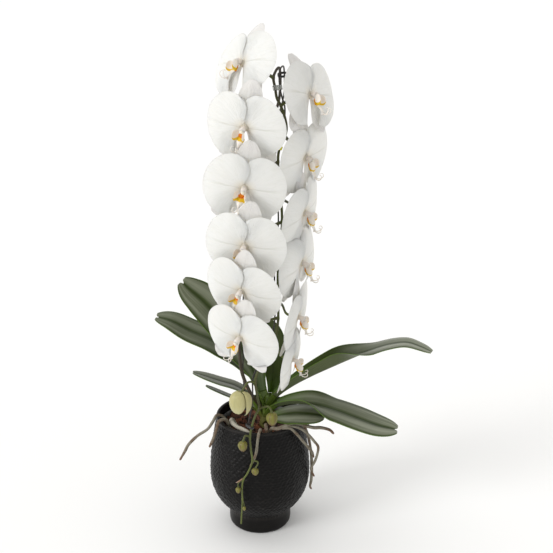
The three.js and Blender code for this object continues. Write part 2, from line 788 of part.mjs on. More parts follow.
function bloomGeometry(bloom) {
  const hub = new THREE.SphereGeometry(HUB_RADIUS, 6, 3).scale(0.9, HUB_DEPTH / HUB_RADIUS, 0.9);
  const columnRoute = path([[0, -2, 0], [0, -6, 0.5], [0, -4 - COLUMN_LENGTH, -3]]);
  const { crest, swept, back, tops = 0, sideBack = LATERAL_BACK } = bloom.form;
  const petals = [-1, 1].map((side) => blade(petalSurface(side, swept, tops), 6, 3, PETAL_THICKNESS));
  const sepals = [
    sepalSurface(crest, DORSAL_LENGTH, DORSAL_HALF_WIDTH, back),
    sepalSurface(-LATERAL_SPREAD, LATERAL_LENGTH, LATERAL_HALF_WIDTH, sideBack),
    sepalSurface(LATERAL_SPREAD, LATERAL_LENGTH, LATERAL_HALF_WIDTH, sideBack),
  ].map((surface) => blade(surface, 2, 3, PETAL_THICKNESS));
  const whole = fused([hub, bar(columnRoute, 3.6, { sides: 4, turn: 25 }), ...petals, ...sepals]);
  whole.index.array.reverse(); // the faces are listed from the top down
  return whole.scale(...Array(3).fill(bloom.size ?? 1));
}

// The lip: two side lobes that stand up like wings, a middle lobe that points down and forward, and two
// curled threads at its tip.
function lipGeometry() {
  const root = -HUB_DEPTH - 1;
  const wing = (side) => (s, t) => {
    const out = side * (1.5 + 8.5 * s);
    const lift = -9 - 2.5 * s + t * mix(2, 5.2, smooth(s, 0, 0.7));
    return V(out, root - 1.6 - 5.5 * s - 1.2 * t * t, lift);
  };
  const forward = (s) => root - 2.2 - 6 * Math.sin(s * 1.9);
  const tongue = (s, t) => {
    const half = mix(2.2, 6.5, smooth(s, 0, 0.45)) * (1 - 0.72 * smooth(s, 0.45, 1));
    return V(half * t, forward(s) + 1.6 * t * t, -9 - LIP_LENGTH * s);
  };
  const thread = (side) => {
    const tip = -9 - LIP_LENGTH;
    const y = forward(1);
    const route = [[side * 0.4, y, tip + 3], [side * 4, y - 0.5, tip], [side * 7, y - 2.6, tip + 6]];
    return bar(path(route), 0.6, { sides: 3, turn: 40 });
  };
  const callus = new THREE.BoxGeometry(4.6, 4.4, 6.4).translate(0, root - 1.9, -7.8);
  const wings = [-1, 1].map((side) => blade(wing(side), 2, 1, 0.9));
  return fused([callus, ...wings, blade(tongue, 2, 2, 0.9), thread(-1), thread(1)]);
}

function addBlooms() {
  const lip = lipGeometry();
  for (const bloom of BLOOMS) {
    const frame = bloomFrame(bloom);
    const petals = place("bloom_" + bloom.name, bloomGeometry(bloom), FINISH.petal);
    const tongue = place("lip_" + bloom.name, lip, FINISH.lip);
    frame.decompose(petals.position, petals.quaternion, petals.scale);
    frame.decompose(tongue.position, tongue.quaternion, tongue.scale);
  }
}

// A bud: an egg with its blunt end up and shallow furrows where its sepals meet.
function addBuds() {
  for (const bud of BUDS) {
    const [wide, deep, tall] = bud.size;
    const egg = closed(new THREE.SphereGeometry(1, 7, 5));
    const corners = egg.getAttribute("position");
    for (let i = 0; i < corners.count; i++) {
      const [x, y, z] = [corners.getX(i), corners.getY(i), corners.getZ(i)];
      const taper = 1 + 0.16 * y;
      const furrow = 1 - 0.05 * Math.cos(3 * Math.atan2(z, x));
      corners.setXYZ(i, x * wide * taper * furrow, -z * deep * taper * furrow, y * tall * 0.93);
    }
    const mesh = place(bud.name, egg, FINISH.bud);
    mesh.position.set(...bud.at);
  }
}

// ---------------------------------------------------------------- clips and bracts

// An oval collar round two parallel bars, with its opening along their direction.
function collar(name, centre, ahead, apart, gap, height, wall, look) {
  const [inner, outer] = [0, wall].map((extra) => {
    const shape = new THREE.Shape();
    const radius = Math.max(RACHIS_RADIUS, WIRE_RADIUS) + gap + extra;
    shape.absarc(apart / 2, 0, radius, -Math.PI / 2, Math.PI / 2, false);
    shape.absarc(-apart / 2, 0, radius, Math.PI / 2, (3 * Math.PI) / 2, false);
    return shape;
  });
  outer.holes.push(inner);
  const ring = new THREE.ExtrudeGeometry(outer, { depth: height, bevelEnabled: false, curveSegments: 3 });
  ring.translate(0, 0, -height / 2);
  const mesh = place(name, ring, look);
  const x = ahead.across.clone();
  const z = ahead.along.clone();
  const y = z.clone().cross(x).normalize();
  x.copy(y).cross(z).normalize();
  mesh.quaternion.setFromRotationMatrix(new THREE.Matrix4().makeBasis(x, y, z));
  mesh.position.copy(centre);
}

function addClips() {
  const gap = 0.8;
  for (const { name, at, height, wall, look } of CLIPS) {
    const share = nearest(spikePath, V(...at));
    const a = spikePath.getPointAt(share);
    const b = wirePath.getPointAt(nearest(wirePath, V(...at)));
    const frame = { across: b.clone().sub(a).normalize(), along: spikePath.getTangentAt(share) };
    collar(name, a.clone().add(b).multiplyScalar(0.5), frame, a.distanceTo(b), gap, height, wall, look);
  }
}

function addBracts() {
  const scale = (root, ahead, side, length, half) => (s, t) => {
    const width = half * Math.sqrt(Math.max(0.03, 1 - (2 * s - 1) ** 2 * 0.9));
    const point = V(...root).addScaledVector(V(...ahead), length * s);
    return point.addScaledVector(V(...side), width * t);
  };
  const dry = scale([-15.4, -29.1, 238], [-0.75, -0.1, 0.45], [0.3, -0.5, 0.8], 10, 2.2);
  const pale = scale([-23.7, -85.9, 122.5], [-0.8, -0.1, -0.5], [0.4, 0.3, -0.7], 13, 1.3);
  place("dry_bract", blade(dry, 2, 3, 0.7), FINISH.bract);
  place("pale_bract", blade(pale, 2, 3, 0.7), FINISH.bract);
}

// ---------------------------------------------------------------- roots

const ROOTS = [
  {
    name: "root_left_long",
    routes: [
      {
        points: [
          [-34, -2, 158], [-46, -8, 172], [-58, -12, 187], [-65, -16, 189.5], [-70, -24, 184],
          [-78, -30, 174], [-94, -34, 164], [-108, -37, 150], [-112, -38, 142], [-121, -40, 126],
        ],
        radius: 2.3,
      },
    ],
  },
  {
    name: "root_left_short",
    routes: [
      {
        points: [
          [-40, -22, 158], [-46, -27, 177], [-51, -30.5, 190], [-60, -37, 190.5], [-64.5, -41, 178],
          [-70, -39, 160], [-76, -36, 146],
        ],
        radius: 2.4,
      },
    ],
  },
  {
    name: "root_across",
    routes: [
      {
        points: [
          [-36, -6, 168], [-42, -14, 181], [-42, -24, 183], [-34, -36, 181], [-24, -44, 180],
          [-16, -49, 177], [-13, -50, 166],
        ],
        radius: 3.2,
      },
    ],
  },
  {
    name: "root_front",
    routes: [
      {
        points: [
          [4, -26, 164], [3, -48, 174], [2, -60, 188.6], [0, -70, 187], [-2, -75.6, 176],
          [-4, -78.2, 160], [-9, -79, 146], [-13, -79.3, 138],
        ],
        radius: 2.1,
      },
    ],
  },
  {
    name: "root_inner",
    routes: [
      {
        points: [
          [14, -21, 160], [12, -26, 176], [10, -36, 184], [11, -50, 183], [12, -57, 176],
        ],
        radius: 2.6,
      },
    ],
  },
  {
    name: "roots_right",
    routes: [
      {
        points: [
          [16, -42, 166], [19, -53, 187], [26, -61, 191], [38, -56, 192], [50, -46, 191],
          [64, -40, 186], [82, -41, 182], [92, -43, 183], [106, -45, 180], [112, -46, 174],
        ],
        radius: 2.6,
      },
      {
        points: [
          [38, -56, 190.4], [50, -50, 189], [62, -46, 183], [72, -44, 174], [82, -41, 160],
          [89, -38, 148], [88, -36, 134], [84, -35, 120], [79, -33, 108], [84, -32, 93],
        ],
        radius: 2,
      },
      {
        points: [
          [34, -58, 190], [46, -54.5, 188], [55, -51, 178], [64, -46, 164], [73, -39, 149],
          [80, -33, 136], [83, -30, 125],
        ],
        radius: 2.1,
      },
      {
        points: [
          [50, -46, 190], [60, -38, 188], [68, -32, 178], [74, -27, 160], [79, -24, 130],
          [80.5, -22, 101], [80, -20, 80], [78.5, -19, 67], [81, -19, 63],
        ],
        radius: 2.3,
      },
    ],
  },
  {
    name: "root_thin_brown",
    routes: [
      {
        points: [
          [40, -30, 164], [49, -30, 187], [63, -31, 197], [75, -33, 188], [71, -34, 177],
        ],
        radius: 1.1,
      },
    ],
  },
  {
    name: "root_thin_dark",
    routes: [
      {
        points: [
          [36, -8, 166], [52, -10, 184], [76, -16, 197], [84, -20, 195], [90, -24, 186],
        ],
        radius: 1.3,
      },
    ],
  },
];

function rootGeometries(root, clearance) {
  return root.routes.map(({ points, radius }) => {
    const taper = (s) => (radius + clearance) * (1 - 0.3 * smooth(s, 0.85, 1));
    return bar(path(points), taper, { sides: 4, turn: 27, stride: 36, beyond: clearance });
  });
}

function addRoots() {
  for (const root of ROOTS) place(root.name, fused(rootGeometries(root, 0)), FINISH.root);
}

// ---------------------------------------------------------------- the whole plant

function barkHoles() {
  const clearance = 0.5;
  const stem = bar(path(STEM), (s) => stemRadius(s) + clearance, { sides: 6, beyond: clearance });
  const wire = bar(path(WIRE.slice(0, 4)), WIRE_RADIUS + 2 * clearance, { beyond: clearance });
  const roots = ROOTS.flatMap((root) => rootGeometries(root, clearance));
  const sheaths = LEAVES.map((leaf) => leafPiece(leaf, 0, leaf.sheath * 1.2, 2, 2, SHEATH_THICKNESS + 1.6));
  return [stem, wire, ...roots, ...sheaths];
}

addPot();
addNurseryPot();
addBarkBed(barkHoles());
addCrown();
addLeaves();
addRoots();
addSpike();
addWire();
addClips();
addBracts();
addBlooms();
addBuds();

export default plant;
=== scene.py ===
"""A white moth orchid trained as a cascade in a dark footed pot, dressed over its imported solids.

Sizes in the tables are millimetres; meshes are metres. +Z is up and the blooms face -Y.
"""

import math

import bpy
import numpy as np
from bpy.props import FloatProperty, FloatVectorProperty, IntProperty, PointerProperty
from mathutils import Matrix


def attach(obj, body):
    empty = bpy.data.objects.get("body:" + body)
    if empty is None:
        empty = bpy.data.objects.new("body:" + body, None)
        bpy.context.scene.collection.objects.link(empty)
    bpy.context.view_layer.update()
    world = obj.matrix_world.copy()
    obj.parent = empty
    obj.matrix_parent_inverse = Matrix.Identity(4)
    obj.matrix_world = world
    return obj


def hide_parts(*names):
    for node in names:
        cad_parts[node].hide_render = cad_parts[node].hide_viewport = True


bl_info = {
    "name": "Potted moth orchid",
    "version": (1, 0, 0),
    "blender": (4, 5, 0),
    "location": "View3D > Sidebar > Orchid",
    "description": "Builds a cascading white moth orchid in a dark footed pot, piece by piece",
    "category": "Add Mesh",
}

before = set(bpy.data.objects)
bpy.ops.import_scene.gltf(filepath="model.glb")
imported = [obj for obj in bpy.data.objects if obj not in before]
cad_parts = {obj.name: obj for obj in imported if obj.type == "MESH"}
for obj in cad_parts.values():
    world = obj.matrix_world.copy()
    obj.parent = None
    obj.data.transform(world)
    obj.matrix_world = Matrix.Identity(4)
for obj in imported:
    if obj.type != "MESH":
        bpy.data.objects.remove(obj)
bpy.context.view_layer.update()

# ---- tables of the plant, millimetres

# Up from the crown, over the arch and down in front of the pot.
SPIKE = [
    (2, -10, 202), (-6, -20, 218), (-15, -28, 238), (-25, -31, 268), (-29, -26, 305), (-30, -16, 360),
    (-24, -4, 430), (-13, 5, 505), (3, 9, 575), (19, 4, 630), (29, -8, 664), (31, -20, 684),
    (31, -32, 702), (29.5, -45, 713), (25.5, -56, 711), (22, -65, 702.3), (24.3, -70, 690),
    (26.6, -72, 677), (31.6, -73, 667.8), (39.1, -75, 637.6), (29.3, -78, 609.6), (28, -79, 594.6),
    (33.4, -85, 516.9), (28, -89, 446.1), (26.7, -92, 360.7), (14.1, -93, 323.4), (-3.2, -93, 288.1),
    (-1.7, -91.5, 260.8), (1.4, -90, 238.9), (-3.7, -89, 228.4), (-10, -88, 207.4), (-12.4, -88, 191),
    (-11.2, -87.5, 170.3), (-9.4, -87, 150.9), (-17.4, -86, 129.6), (-22.9, -85.5, 120),
    (-25.1, -85, 103.7), (-24.7, -84, 82.5), (-26.4, -83, 57.7), (-27.2, -82, 41.4),
]
WIRE = [
    (-16, -6, 120), (-18, -14, 180), (-22, -20, 230), (-24, -23, 268), (-23, -17, 305),
    (-23.5, -8, 360), (-18, 3.5, 430), (-7.5, 12.5, 505), (8, 15.5, 575), (24.5, 9.5, 630),
    (34.5, -5, 664), (36.5, -18, 684), (36.5, -31, 702), (35, -45, 715), (31, -57, 713),
    (29.5, -62, 704), (30.5, -64.5, 690), (33, -65, 678), (36.5, -64.5, 667), (37, -66.5, 655),
    (34.5, -70.5, 637.6), (25.5, -73.5, 609.6), (24, -74.5, 594.6), (28.5, -80.5, 516.9),
    (23.5, -84.5, 446.1), (22, -87.5, 360.7), (9, -88.5, 323.4), (-7, -88, 287), (-8, -86.5, 261.3),
    (-9.5, -85.5, 240), (-13.5, -83.5, 217.3), (-16, -82.5, 203),
]
STEM = [
    (7, 0, 150), (9, 1, 176), (11, 2, 200), (12, 4, 214),
]
# face is where the upper side looks at the foot and at the tip, fold the degrees that each half is folded up
# there, and the sheen pair how much painted sheen, a grey reflection painted into the upper side's colour, it
# has there. sheath is the share of the route that the crown holds, notch the dent in the tip, and from
# narrows on the leaf gets narrower.
LEAVES = [
    dict(name="leaf_a", wax=(0.55, 0.7), width=31, face=((0.6, -0.4, 0.7), (0.3, -0.9, 0.4)), fold=(56, 16),
         sheath=0.15, notch=5, route=[
             (9, 0, 184), (3, 2, 208), (-4, 4, 229), (-11, 6, 255), (-23, 8, 281), (-38, 11, 306),
             (-56, 14, 330), (-74, 17, 352), (-88, 20, 366), (-103, 22, 379), (-116, 24, 392),
         ]),
    dict(name="leaf_b", width=27.5, wax=(0.4, 0.55), face=((0.6, -0.3, 0.8), (0.1, -0.4, 1)), fold=(56, 14),
         sheath=0.15, notch=5, route=[
             (5, 7, 176), (1, 13, 197), (-3, 17, 215), (-9, 19.5, 234), (-21, 20, 252), (-36, 26, 268),
             (-55, 33, 280), (-77, 40, 291), (-108, 46, 303), (-138, 50, 318), (-160, 52, 324),
         ]),
    dict(name="leaf_c", wax=(0.85, 0.85), width=20, face=((0.4, 0.1, 1), (0, 0.1, 1)), fold=(48, 14),
         sheath=0.25, notch=3, route=[
             (4, 0, 176), (-4, 1, 192), (-12, 3, 206), (-24, 5, 219), (-39, 7, 228), (-60, 9, 234),
             (-83, 10, 242), (-102, 10, 249),
         ]),
    dict(name="leaf_d", width=15, wax=(0.1, 0.1), face=((0.3, 0.4, 1), (0.1, 0.22, 1)), fold=(40, 8),
         sheath=0.27, notch=2, route=[
             (4, 9, 172), (-8, 15, 184), (-26, 21, 195), (-54, 25, 206), (-84, 27, 219),
         ]),
    dict(name="leaf_e", width=31, wax=(0.0, 1.0), face=((-0.5, 0.1, 1), (-0.05, 0.1, 1)), fold=(62, 12),
         sheath=0.1, notch=0, unfolds=(0.45, 0.7), narrows=0.45, route=[
             (12, 0, 190), (28, -1, 214), (50, 0, 231), (80, 3, 247), (106, 5, 259), (134, 6, 272),
             (170, 4, 289), (200, -2, 301), (221, -7, 305), (240, -13, 301), (256, -20, 296),
         ]),
    dict(name="leaf_f", wax=(0.55, 0.95), width=33, face=((-0.2, 0.1, 1), (0.35, -0.25, 1)), fold=(48, 12),
         sheath=0.13, notch=5, unfolds=(0.3, 0.55), route=[
             (12, -3, 180), (24, -8, 198), (42, -13, 207), (76, -22, 211), (112, -31, 206),
             (146, -40, 197), (178, -47, 188), (206, -52, 184),
         ]),
    dict(name="leaf_g", wax=(0.8, 0.8), width=26, face=((-0.2, -0.1, 1), (0, -0.15, 1)), fold=(40, 8),
         sheath=0.2, notch=2, route=[
             (10, -8, 172), (20, -18, 186), (34, -26.5, 195), (56, -33, 201), (80, -40, 203),
             (98, -44, 202),
         ]),
    dict(name="leaf_h", width=22, wax=(0.0, 0.1), face=((0.25, -1, 0.2), (0.3, -1, 0.3)), fold=(52, 24),
         sheath=0.12, notch=2, route=[
             (14, 10, 198), (19, 19, 222), (22, 26, 250), (20, 31, 286), (12, 36, 324),
         ]),
]
# at is the hub and node where the stalk leaves the spike. turn, tilt and lean are degrees about Z, X and Y.
# crest is the top sepal's slant in degrees, and back how far its tip stands behind. The petals sweep back by
# swept degrees, their upper halves by tops more, and trim shortens the right one's lower side.
BLOOMS = [
    dict(name="l1", at=(-18.3, -72, 722.1), node=(22, -65, 702.3), turn=-47, tilt=-28, lean=-10,
         crest=6, swept=9, back=10, size=0.95),
    dict(name="l2", at=(-14.3, -104, 644.8), node=(32.5, -74, 659.7), trim=6, turn=-21, tilt=11, lean=6,
         crest=8, swept=6, back=3),
    dict(name="l3", at=(-15.6, -115, 568.2), node=(28, -79, 594.6), turn=-5, tilt=10, lean=9,
         crest=0, swept=4, back=3),
    dict(name="l4", at=(-15.2, -126, 493.1), node=(33.4, -85, 514.2), turn=-14, tilt=11, lean=5,
         crest=6, swept=7, back=3),
    dict(name="l5", at=(-20.1, -137, 434.5), node=(28.7, -89, 450.4), turn=-26, tilt=16, lean=12,
         crest=2, swept=9, back=3),
    dict(name="l6", at=(-22.5, -147, 371.7), node=(27.1, -91.5, 378.4), turn=-30, tilt=15, lean=12,
         crest=6, swept=9, back=3, side_back=1),
    dict(name="r1", at=(70.5, -62, 679.9), node=(31.6, -73, 667.8), turn=51, tilt=-14, lean=10,
         crest=-10, swept=4, back=20, size=0.95),
    dict(name="r2", at=(64.8, -57.4, 595.6), node=(38, -76.5, 627), turn=55, tilt=8, lean=-8,
         crest=-4, swept=3, tops=4, back=12.5),
    dict(name="r3", at=(63.8, -53, 518), node=(32, -83, 545), turn=64, tilt=8, lean=-14,
         crest=0, swept=9, tops=1.5, back=7),
    dict(name="r4", at=(61, -53, 445.5), node=(31, -87, 480), turn=63, tilt=8, lean=-14,
         crest=0, swept=9, tops=9, back=7),
    dict(name="r5", at=(55.4, -56, 365.5), node=(27.3, -90.5, 404), turn=74, tilt=9, lean=-12,
         crest=0, swept=3, tops=4, back=6),
    dict(name="r6", at=(48.2, -58, 300.5), node=(20, -92.7, 340), turn=74.5, tilt=10, lean=-15,
         crest=0, swept=4, tops=9, back=-3, size=0.88),
]
# size is half of each width and half of the height. The stalk runs from node over knee.
BUDS = [
    dict(name="bud_1", at=(-23.4, -105, 254.5), size=(15, 12, 19),
         node=(-3.2, -92.5, 281), knee=(-14, -99, 284)),
    dict(name="bud_2", at=(20, -99, 226.4), size=(8.5, 8.5, 10.5),
         node=(1.4, -90, 239), knee=(15, -95, 244)),
    dict(name="bud_3", at=(-22.5, -95, 180.5), size=(7, 7, 8.5),
         node=(-12.4, -88, 192), knee=(-19, -92, 196)),
    dict(name="bud_4", at=(-5, -94, 138), size=(5.4, 5.4, 6),
         node=(-10, -87.2, 153), knee=(-1, -91, 152)),
    dict(name="bud_5", at=(-30.5, -87, 102.7), size=(4, 4, 5.2),
         node=(-23.2, -85.5, 119), knee=(-30.5, -86.5, 114)),
    dict(name="bud_6", at=(-22, -88, 72), size=(2.6, 2.6, 3.6),
         node=(-24.8, -84, 85), knee=(-22.5, -87, 81)),
]
# The radius and the route of each strand.
ROOTS = {
    "root_left_long": [
        (2.3, [
            (-34, -2, 158), (-46, -8, 172), (-58, -12, 187), (-65, -16, 189.5), (-70, -24, 184),
            (-78, -30, 174), (-94, -34, 164), (-108, -37, 150), (-112, -38, 142), (-121, -40, 126),
        ]),
    ],
    "root_left_short": [
        (2.4, [
            (-40, -22, 158), (-46, -27, 177), (-51, -30.5, 190), (-60, -37, 190.5), (-64.5, -41, 178),
            (-70, -39, 160), (-76, -36, 146),
        ]),
    ],
    "root_across": [
        (3.2, [
            (-36, -6, 168), (-42, -14, 181), (-42, -24, 183), (-34, -36, 181), (-24, -44, 180),
            (-16, -49, 177), (-13, -50, 166),
        ]),
    ],
    "root_front": [
        (2.1, [
            (4, -26, 164), (3, -48, 174), (2, -60, 188.6), (0, -70, 187), (-2, -75.6, 176),
            (-4, -78.2, 160), (-9, -79, 146), (-13, -79.3, 138),
        ]),
    ],
    "root_inner": [
        (2.6, [
            (14, -21, 160), (12, -26, 176), (10, -36, 184), (11, -50, 183), (12, -57, 176),
        ]),
    ],
    "roots_right": [
        (2.6, [
            (16, -42, 166), (19, -53, 187), (26, -61, 191), (38, -56, 192), (50, -46, 191),
            (64, -40, 186), (82, -41, 182), (92, -43, 183), (106, -45, 180), (112, -46, 174),
        ]),
        (2, [
            (38, -56, 190.4), (50, -50, 189), (62, -46, 183), (72, -44, 174), (82, -41, 160),
            (89, -38, 148), (88, -36, 134), (84, -35, 120), (79, -33, 108), (84, -32, 93),
        ]),
        (2.1, [
            (34, -58, 190), (46, -54.5, 188), (55, -51, 178), (64, -46, 164), (73, -39, 149),
            (80, -33, 136), (83, -30, 125),
        ]),
        (2.3, [
            (50, -46, 190), (60, -38, 188), (68, -32, 178), (74, -27, 160), (79, -24, 130),
            (80.5, -22, 101), (80, -20, 80), (78.5, -19, 67), (81, -19, 63),
        ]),
    ],
    "root_thin_brown": [
        (1.1, [
            (40, -30, 164), (49, -30, 187), (63, -31, 197), (75, -33, 188), (71, -34, 177),
        ]),
    ],
    "root_thin_dark": [
        (1.3, [
            (36, -8, 166), (52, -10, 184), (76, -16, 197), (84, -20, 195), (90, -24, 186),
        ]),
    ],
}
ROOT_TONES = {"root_thin_brown": 0.75, "root_thin_dark": 0.9, "root_across": -0.7}  # browner or paler
# Where the clips hold the spike to its wire.
CLIPS = [
    dict(name="clip_top", look="dark", at=(31, -32, 702), height=4, wall=1.2),
    dict(name="clip_ring", look="clear", at=(24.3, -70, 690), height=6, wall=0.7),
    dict(name="clip_band", look="yellow", at=(30.5, -77.7, 613), height=5, wall=0.8),
    dict(name="clip_low", look="dark", at=(-10, -88, 207.4), height=3.5, wall=1.1),
]
BRACTS = [
    dict(name="dry_bract", root=(-15.4, -29.1, 238), ahead=(-0.75, -0.1, 0.45), side=(0.3, -0.5, 0.8),
         length=10, half=2.2),
    dict(name="pale_bract", root=(-23.7, -85.9, 122.5), ahead=(-0.8, -0.1, -0.5), side=(0.4, 0.3, -0.7),
         length=13, half=1.3),
]

# ---- driving sizes, millimetres

POT_HEIGHT = 185
POT_WALL = 4.5
POT_FLOOR = 12
RIM_RADIUS = 66.5
BELLY_RADIUS = 78.2
BELLY_HEIGHT = 92
FOOT_RADIUS = 48.2
FOOT_HEIGHT = 22
DIMPLED_RADIUS = 74  # where a dimple has its full width
BARK_TOP = 163
BARK_RADIUS = 57.7
SPIKE_RADIUS = (2.6, 1.8, 1.2)  # at the crown, along the blooms and at the tip
STALK_RADIUS = 1.5
WIRE_RADIUS = 1.1
CLIP_GAP = 0.8
SEAT_GAP = 0.35
LEAF_THICKNESS = 1.8
SHEATH_THICKNESS = 3.2
PETAL_REACH = 55
PETAL_THICKNESS = 0.9
DORSAL_SEPAL = (64, 17.5)  # length and half width
SIDE_SEPAL = (60, 17)
SIDE_SEPAL_TURN = 142  # degrees from the top sepal
SIDE_SEPAL_BACK = 7  # how far its tip stands behind its foot
SEPAL_LAYER = 2.4
HUB_DEPTH = 3.9
LIP_ROOT = -HUB_DEPTH - 1
LIP_FOOT = 9  # how far below the hub the middle lobe starts
LIP_DROP = 19  # from there to its tip
LIP_NOD = 14  # degrees that a lip looks further aside than its bloom
MM = 0.001

# ---- sums on places


def mix(low, high, share):
    return low + (high - low) * share


def smooth(value, low, high):
    share = np.clip((value - low) / (high - low), 0, 1)
    return share * share * (3 - 2 * share)


def hump(value, width):
    """A bell round zero."""
    return np.exp(-((value / width) ** 2))


def unit(vectors):
    return vectors / np.maximum(np.linalg.norm(vectors, axis=-1, keepdims=True), 1e-12)


def places(x, y, z):
    return np.stack(np.broadcast_arrays(x, y, z), axis=-1).astype(float)


def about_z(degrees):
    c, s = math.cos(math.radians(degrees)), math.sin(math.radians(degrees))
    return np.array([[c, -s, 0], [s, c, 0], [0, 0, 1]])


def linear(hex_colour):
    """A colour written in hex, as the linear numbers that shaders take."""
    parts = [int(hex_colour[i:i + 2], 16) / 255 for i in (1, 3, 5)]
    return (*(c / 12.92 if c <= 0.04045 else ((c + 0.055) / 1.055) ** 2.4 for c in parts), 1.0)


class Route:
    """A smooth path through given points, read by the share of its length."""

    def __init__(self, points, grain=40):
        knots = np.array(points, float)
        knots = np.vstack([2 * knots[0] - knots[1], knots, 2 * knots[-1] - knots[-2]])
        runs = [self.run(knots[i:i + 4], grain) for i in range(len(knots) - 3)]
        self.points = np.vstack([*runs, knots[-2]])
        steps = np.linalg.norm(np.diff(self.points, axis=0), axis=1)
        self.gone = np.concatenate([[0], np.cumsum(steps)])
        self.length = self.gone[-1]

    @staticmethod
    def run(knots, grain):
        """The stretch between the middle two of four knots."""
        a, b, c, d = knots
        before, here, after = (max(np.linalg.norm(q - p) ** 0.5, 1e-4) for p, q in ((a, b), (b, c), (c, d)))
        leaving = ((b - a) / before - (c - a) / (before + here) + (c - b) / here) * here
        coming = ((c - b) / here - (d - b) / (here + after) + (d - c) / after) * here
        t = np.linspace(0, 1, grain, endpoint=False)[:, None]
        square = -3 * b + 3 * c - 2 * leaving - coming
        cube = 2 * b - 2 * c + leaving + coming
        return b + leaving * t + square * t ** 2 + cube * t ** 3

    def at(self, share):
        where = np.clip(share, 0, 1) * self.length
        return np.stack([np.interp(where, self.gone, self.points[:, i]) for i in range(3)], axis=-1)

    def ahead(self, share):
        step = 1.5 / self.length
        share = np.clip(share, 0, 1)
        return unit(self.at(np.minimum(share + step, 1)) - self.at(np.maximum(share - step, 0)))

    def nearest(self, place):
        far = np.linalg.norm(self.points - np.array(place, float), axis=1)
        return self.gone[far.argmin()] / self.length


def shares(length, stride, blunt):
    """Shares of a bar's length for its rings, crowded over its last blunt millimetres to round its end."""
    body = np.linspace(0, 1 - blunt / length, max(4, int(length / stride)))
    tip = 1 - blunt / length * (1 - np.sin(np.linspace(0, math.pi / 2, 6)[1:]))
    return np.concatenate([body, tip])


def rounded(share, length, blunt):
    """How full a bar is towards its rounded end."""
    left = np.clip((1 - share) * length / blunt, 0, 1)
    return np.sqrt(np.maximum(1 - (1 - left) ** 2, 0.02))


# ---- shells


class Shell:
    """A closed skin: corner places in millimetres, faces, map places and marks for each corner."""

    def __init__(self, corners, faces, maps=None, **marks):
        self.corners = np.array(corners, float).reshape(-1, 3)
        self.faces = [tuple(int(i) for i in face) for face in faces]
        self.maps = np.zeros((len(self.corners), 2)) if maps is None else np.array(maps, float)
        self.marks = {name: np.array(mark, float).ravel() for name, mark in marks.items()}
        if self.volume() < 0:
            self.faces = [face[::-1] for face in self.faces]

    def volume(self):
        centre = self.corners.mean(axis=0)
        triangles = [(f[0], f[i], f[i + 1]) for f in self.faces for i in range(1, len(f) - 1)]
        a, b, c = (self.corners[list(column)] - centre for column in zip(*triangles))
        return float(np.einsum("ij,ij->i", a, np.cross(b, c)).sum())

    def moved(self, shift, turn=np.eye(3)):
        self.corners = self.corners @ np.array(turn, float).T + np.array(shift, float)
        return self


def grid_faces(rows, columns, wrap=False):
    """Four-sided faces over a grid of corners; wrap joins the last column to the first."""
    faces = []
    for row in range(rows - 1):
        for column in range(columns if wrap else columns - 1):
            after = (column + 1) % columns
            low, high = row * columns, (row + 1) * columns
            faces.append((low + column, low + after, high + after, high + column))
    return faces


def sheet(surface, across, along, thickness, upper=1, gather=1.0, marks=None):
    """A thin curved blade. surface(s, t) is its middle, s from root to tip and t from -1 to 1 across.

    upper is 1 where its upper side looks along (onward x sideways), and gather above 1 crowds the rows
    towards the tip, where the outline turns fast.
    """
    share = 1 - (1 - np.linspace(0, 1, along + 1)) ** gather
    crowd = 1.35  # draws the columns towards both margins
    s, t = np.meshgrid(share, np.sin(np.linspace(-1, 1, across + 1) * crowd) / math.sin(crowd), indexing="ij")
    step = 1e-3
    onward = surface(s + step, t) - surface(s - step, t)
    sideways = surface(s, t + step) - surface(s, t - step)
    half = unit(np.cross(onward, sideways)) * (thickness(s, t) / 2)[..., None] * upper
    middle = surface(s, t)
    count = s.size
    faces = grid_faces(along + 1, across + 1)
    whole = [*faces, *(tuple(i + count for i in face[::-1]) for face in faces)]
    rim = [row * (across + 1) for row in range(along)]
    rim += [along * (across + 1) + column for column in range(across)]
    rim += [row * (across + 1) + across for row in range(along, 0, -1)]
    rim += list(range(across, 0, -1))
    whole += [(q, p, p + count, q + count) for p, q in zip(rim, rim[1:] + rim[:1])]
    corners = np.concatenate([(middle + half).reshape(-1, 3), (middle - half).reshape(-1, 3)])
    maps = np.tile(np.stack([(t + 1) / 2, s], axis=-1).reshape(-1, 2), (2, 1))
    values = {name: np.tile((mark(s, t) + 0 * s).ravel(), 2) for name, mark in (marks or {}).items()}
    return Shell(corners, whole, maps, under=np.repeat([0.0, 1.0], count), **values)


def thin_edged(full, edge=0.35):
    """The thickness of a petal or leaf, thinner towards its margin and tip."""
    return lambda s, t: full * (1 - (1 - edge) * np.maximum(np.abs(t) ** 5, np.clip(s, 0, 1) ** 14))


def bar(points, radii, sides=12, **marks):
    """A round bar through places, closed at both ends."""
    points = np.array(points, float)
    radii = np.broadcast_to(np.asarray(radii, float), len(points))
    angle = np.linspace(0, 2 * math.pi, sides, endpoint=False)[:, None]
    across = np.array([0.31, 0.87, 0.39])
    rings = []
    for place, onward, radius in zip(points, unit(np.gradient(points, axis=0)), radii):
        across = unit(across - onward * across.dot(onward))
        other = np.cross(onward, across)
        rings.append(place + radius * (np.cos(angle) * across + np.sin(angle) * other))
    last = (len(points) - 1) * sides
    faces = grid_faces(len(points), sides, wrap=True)
    faces += [tuple(range(sides))[::-1], tuple(last + i for i in range(sides))]
    values = {name: np.full(len(points) * sides, mark) for name, mark in marks.items()}
    return Shell(np.concatenate(rings), faces, **values)


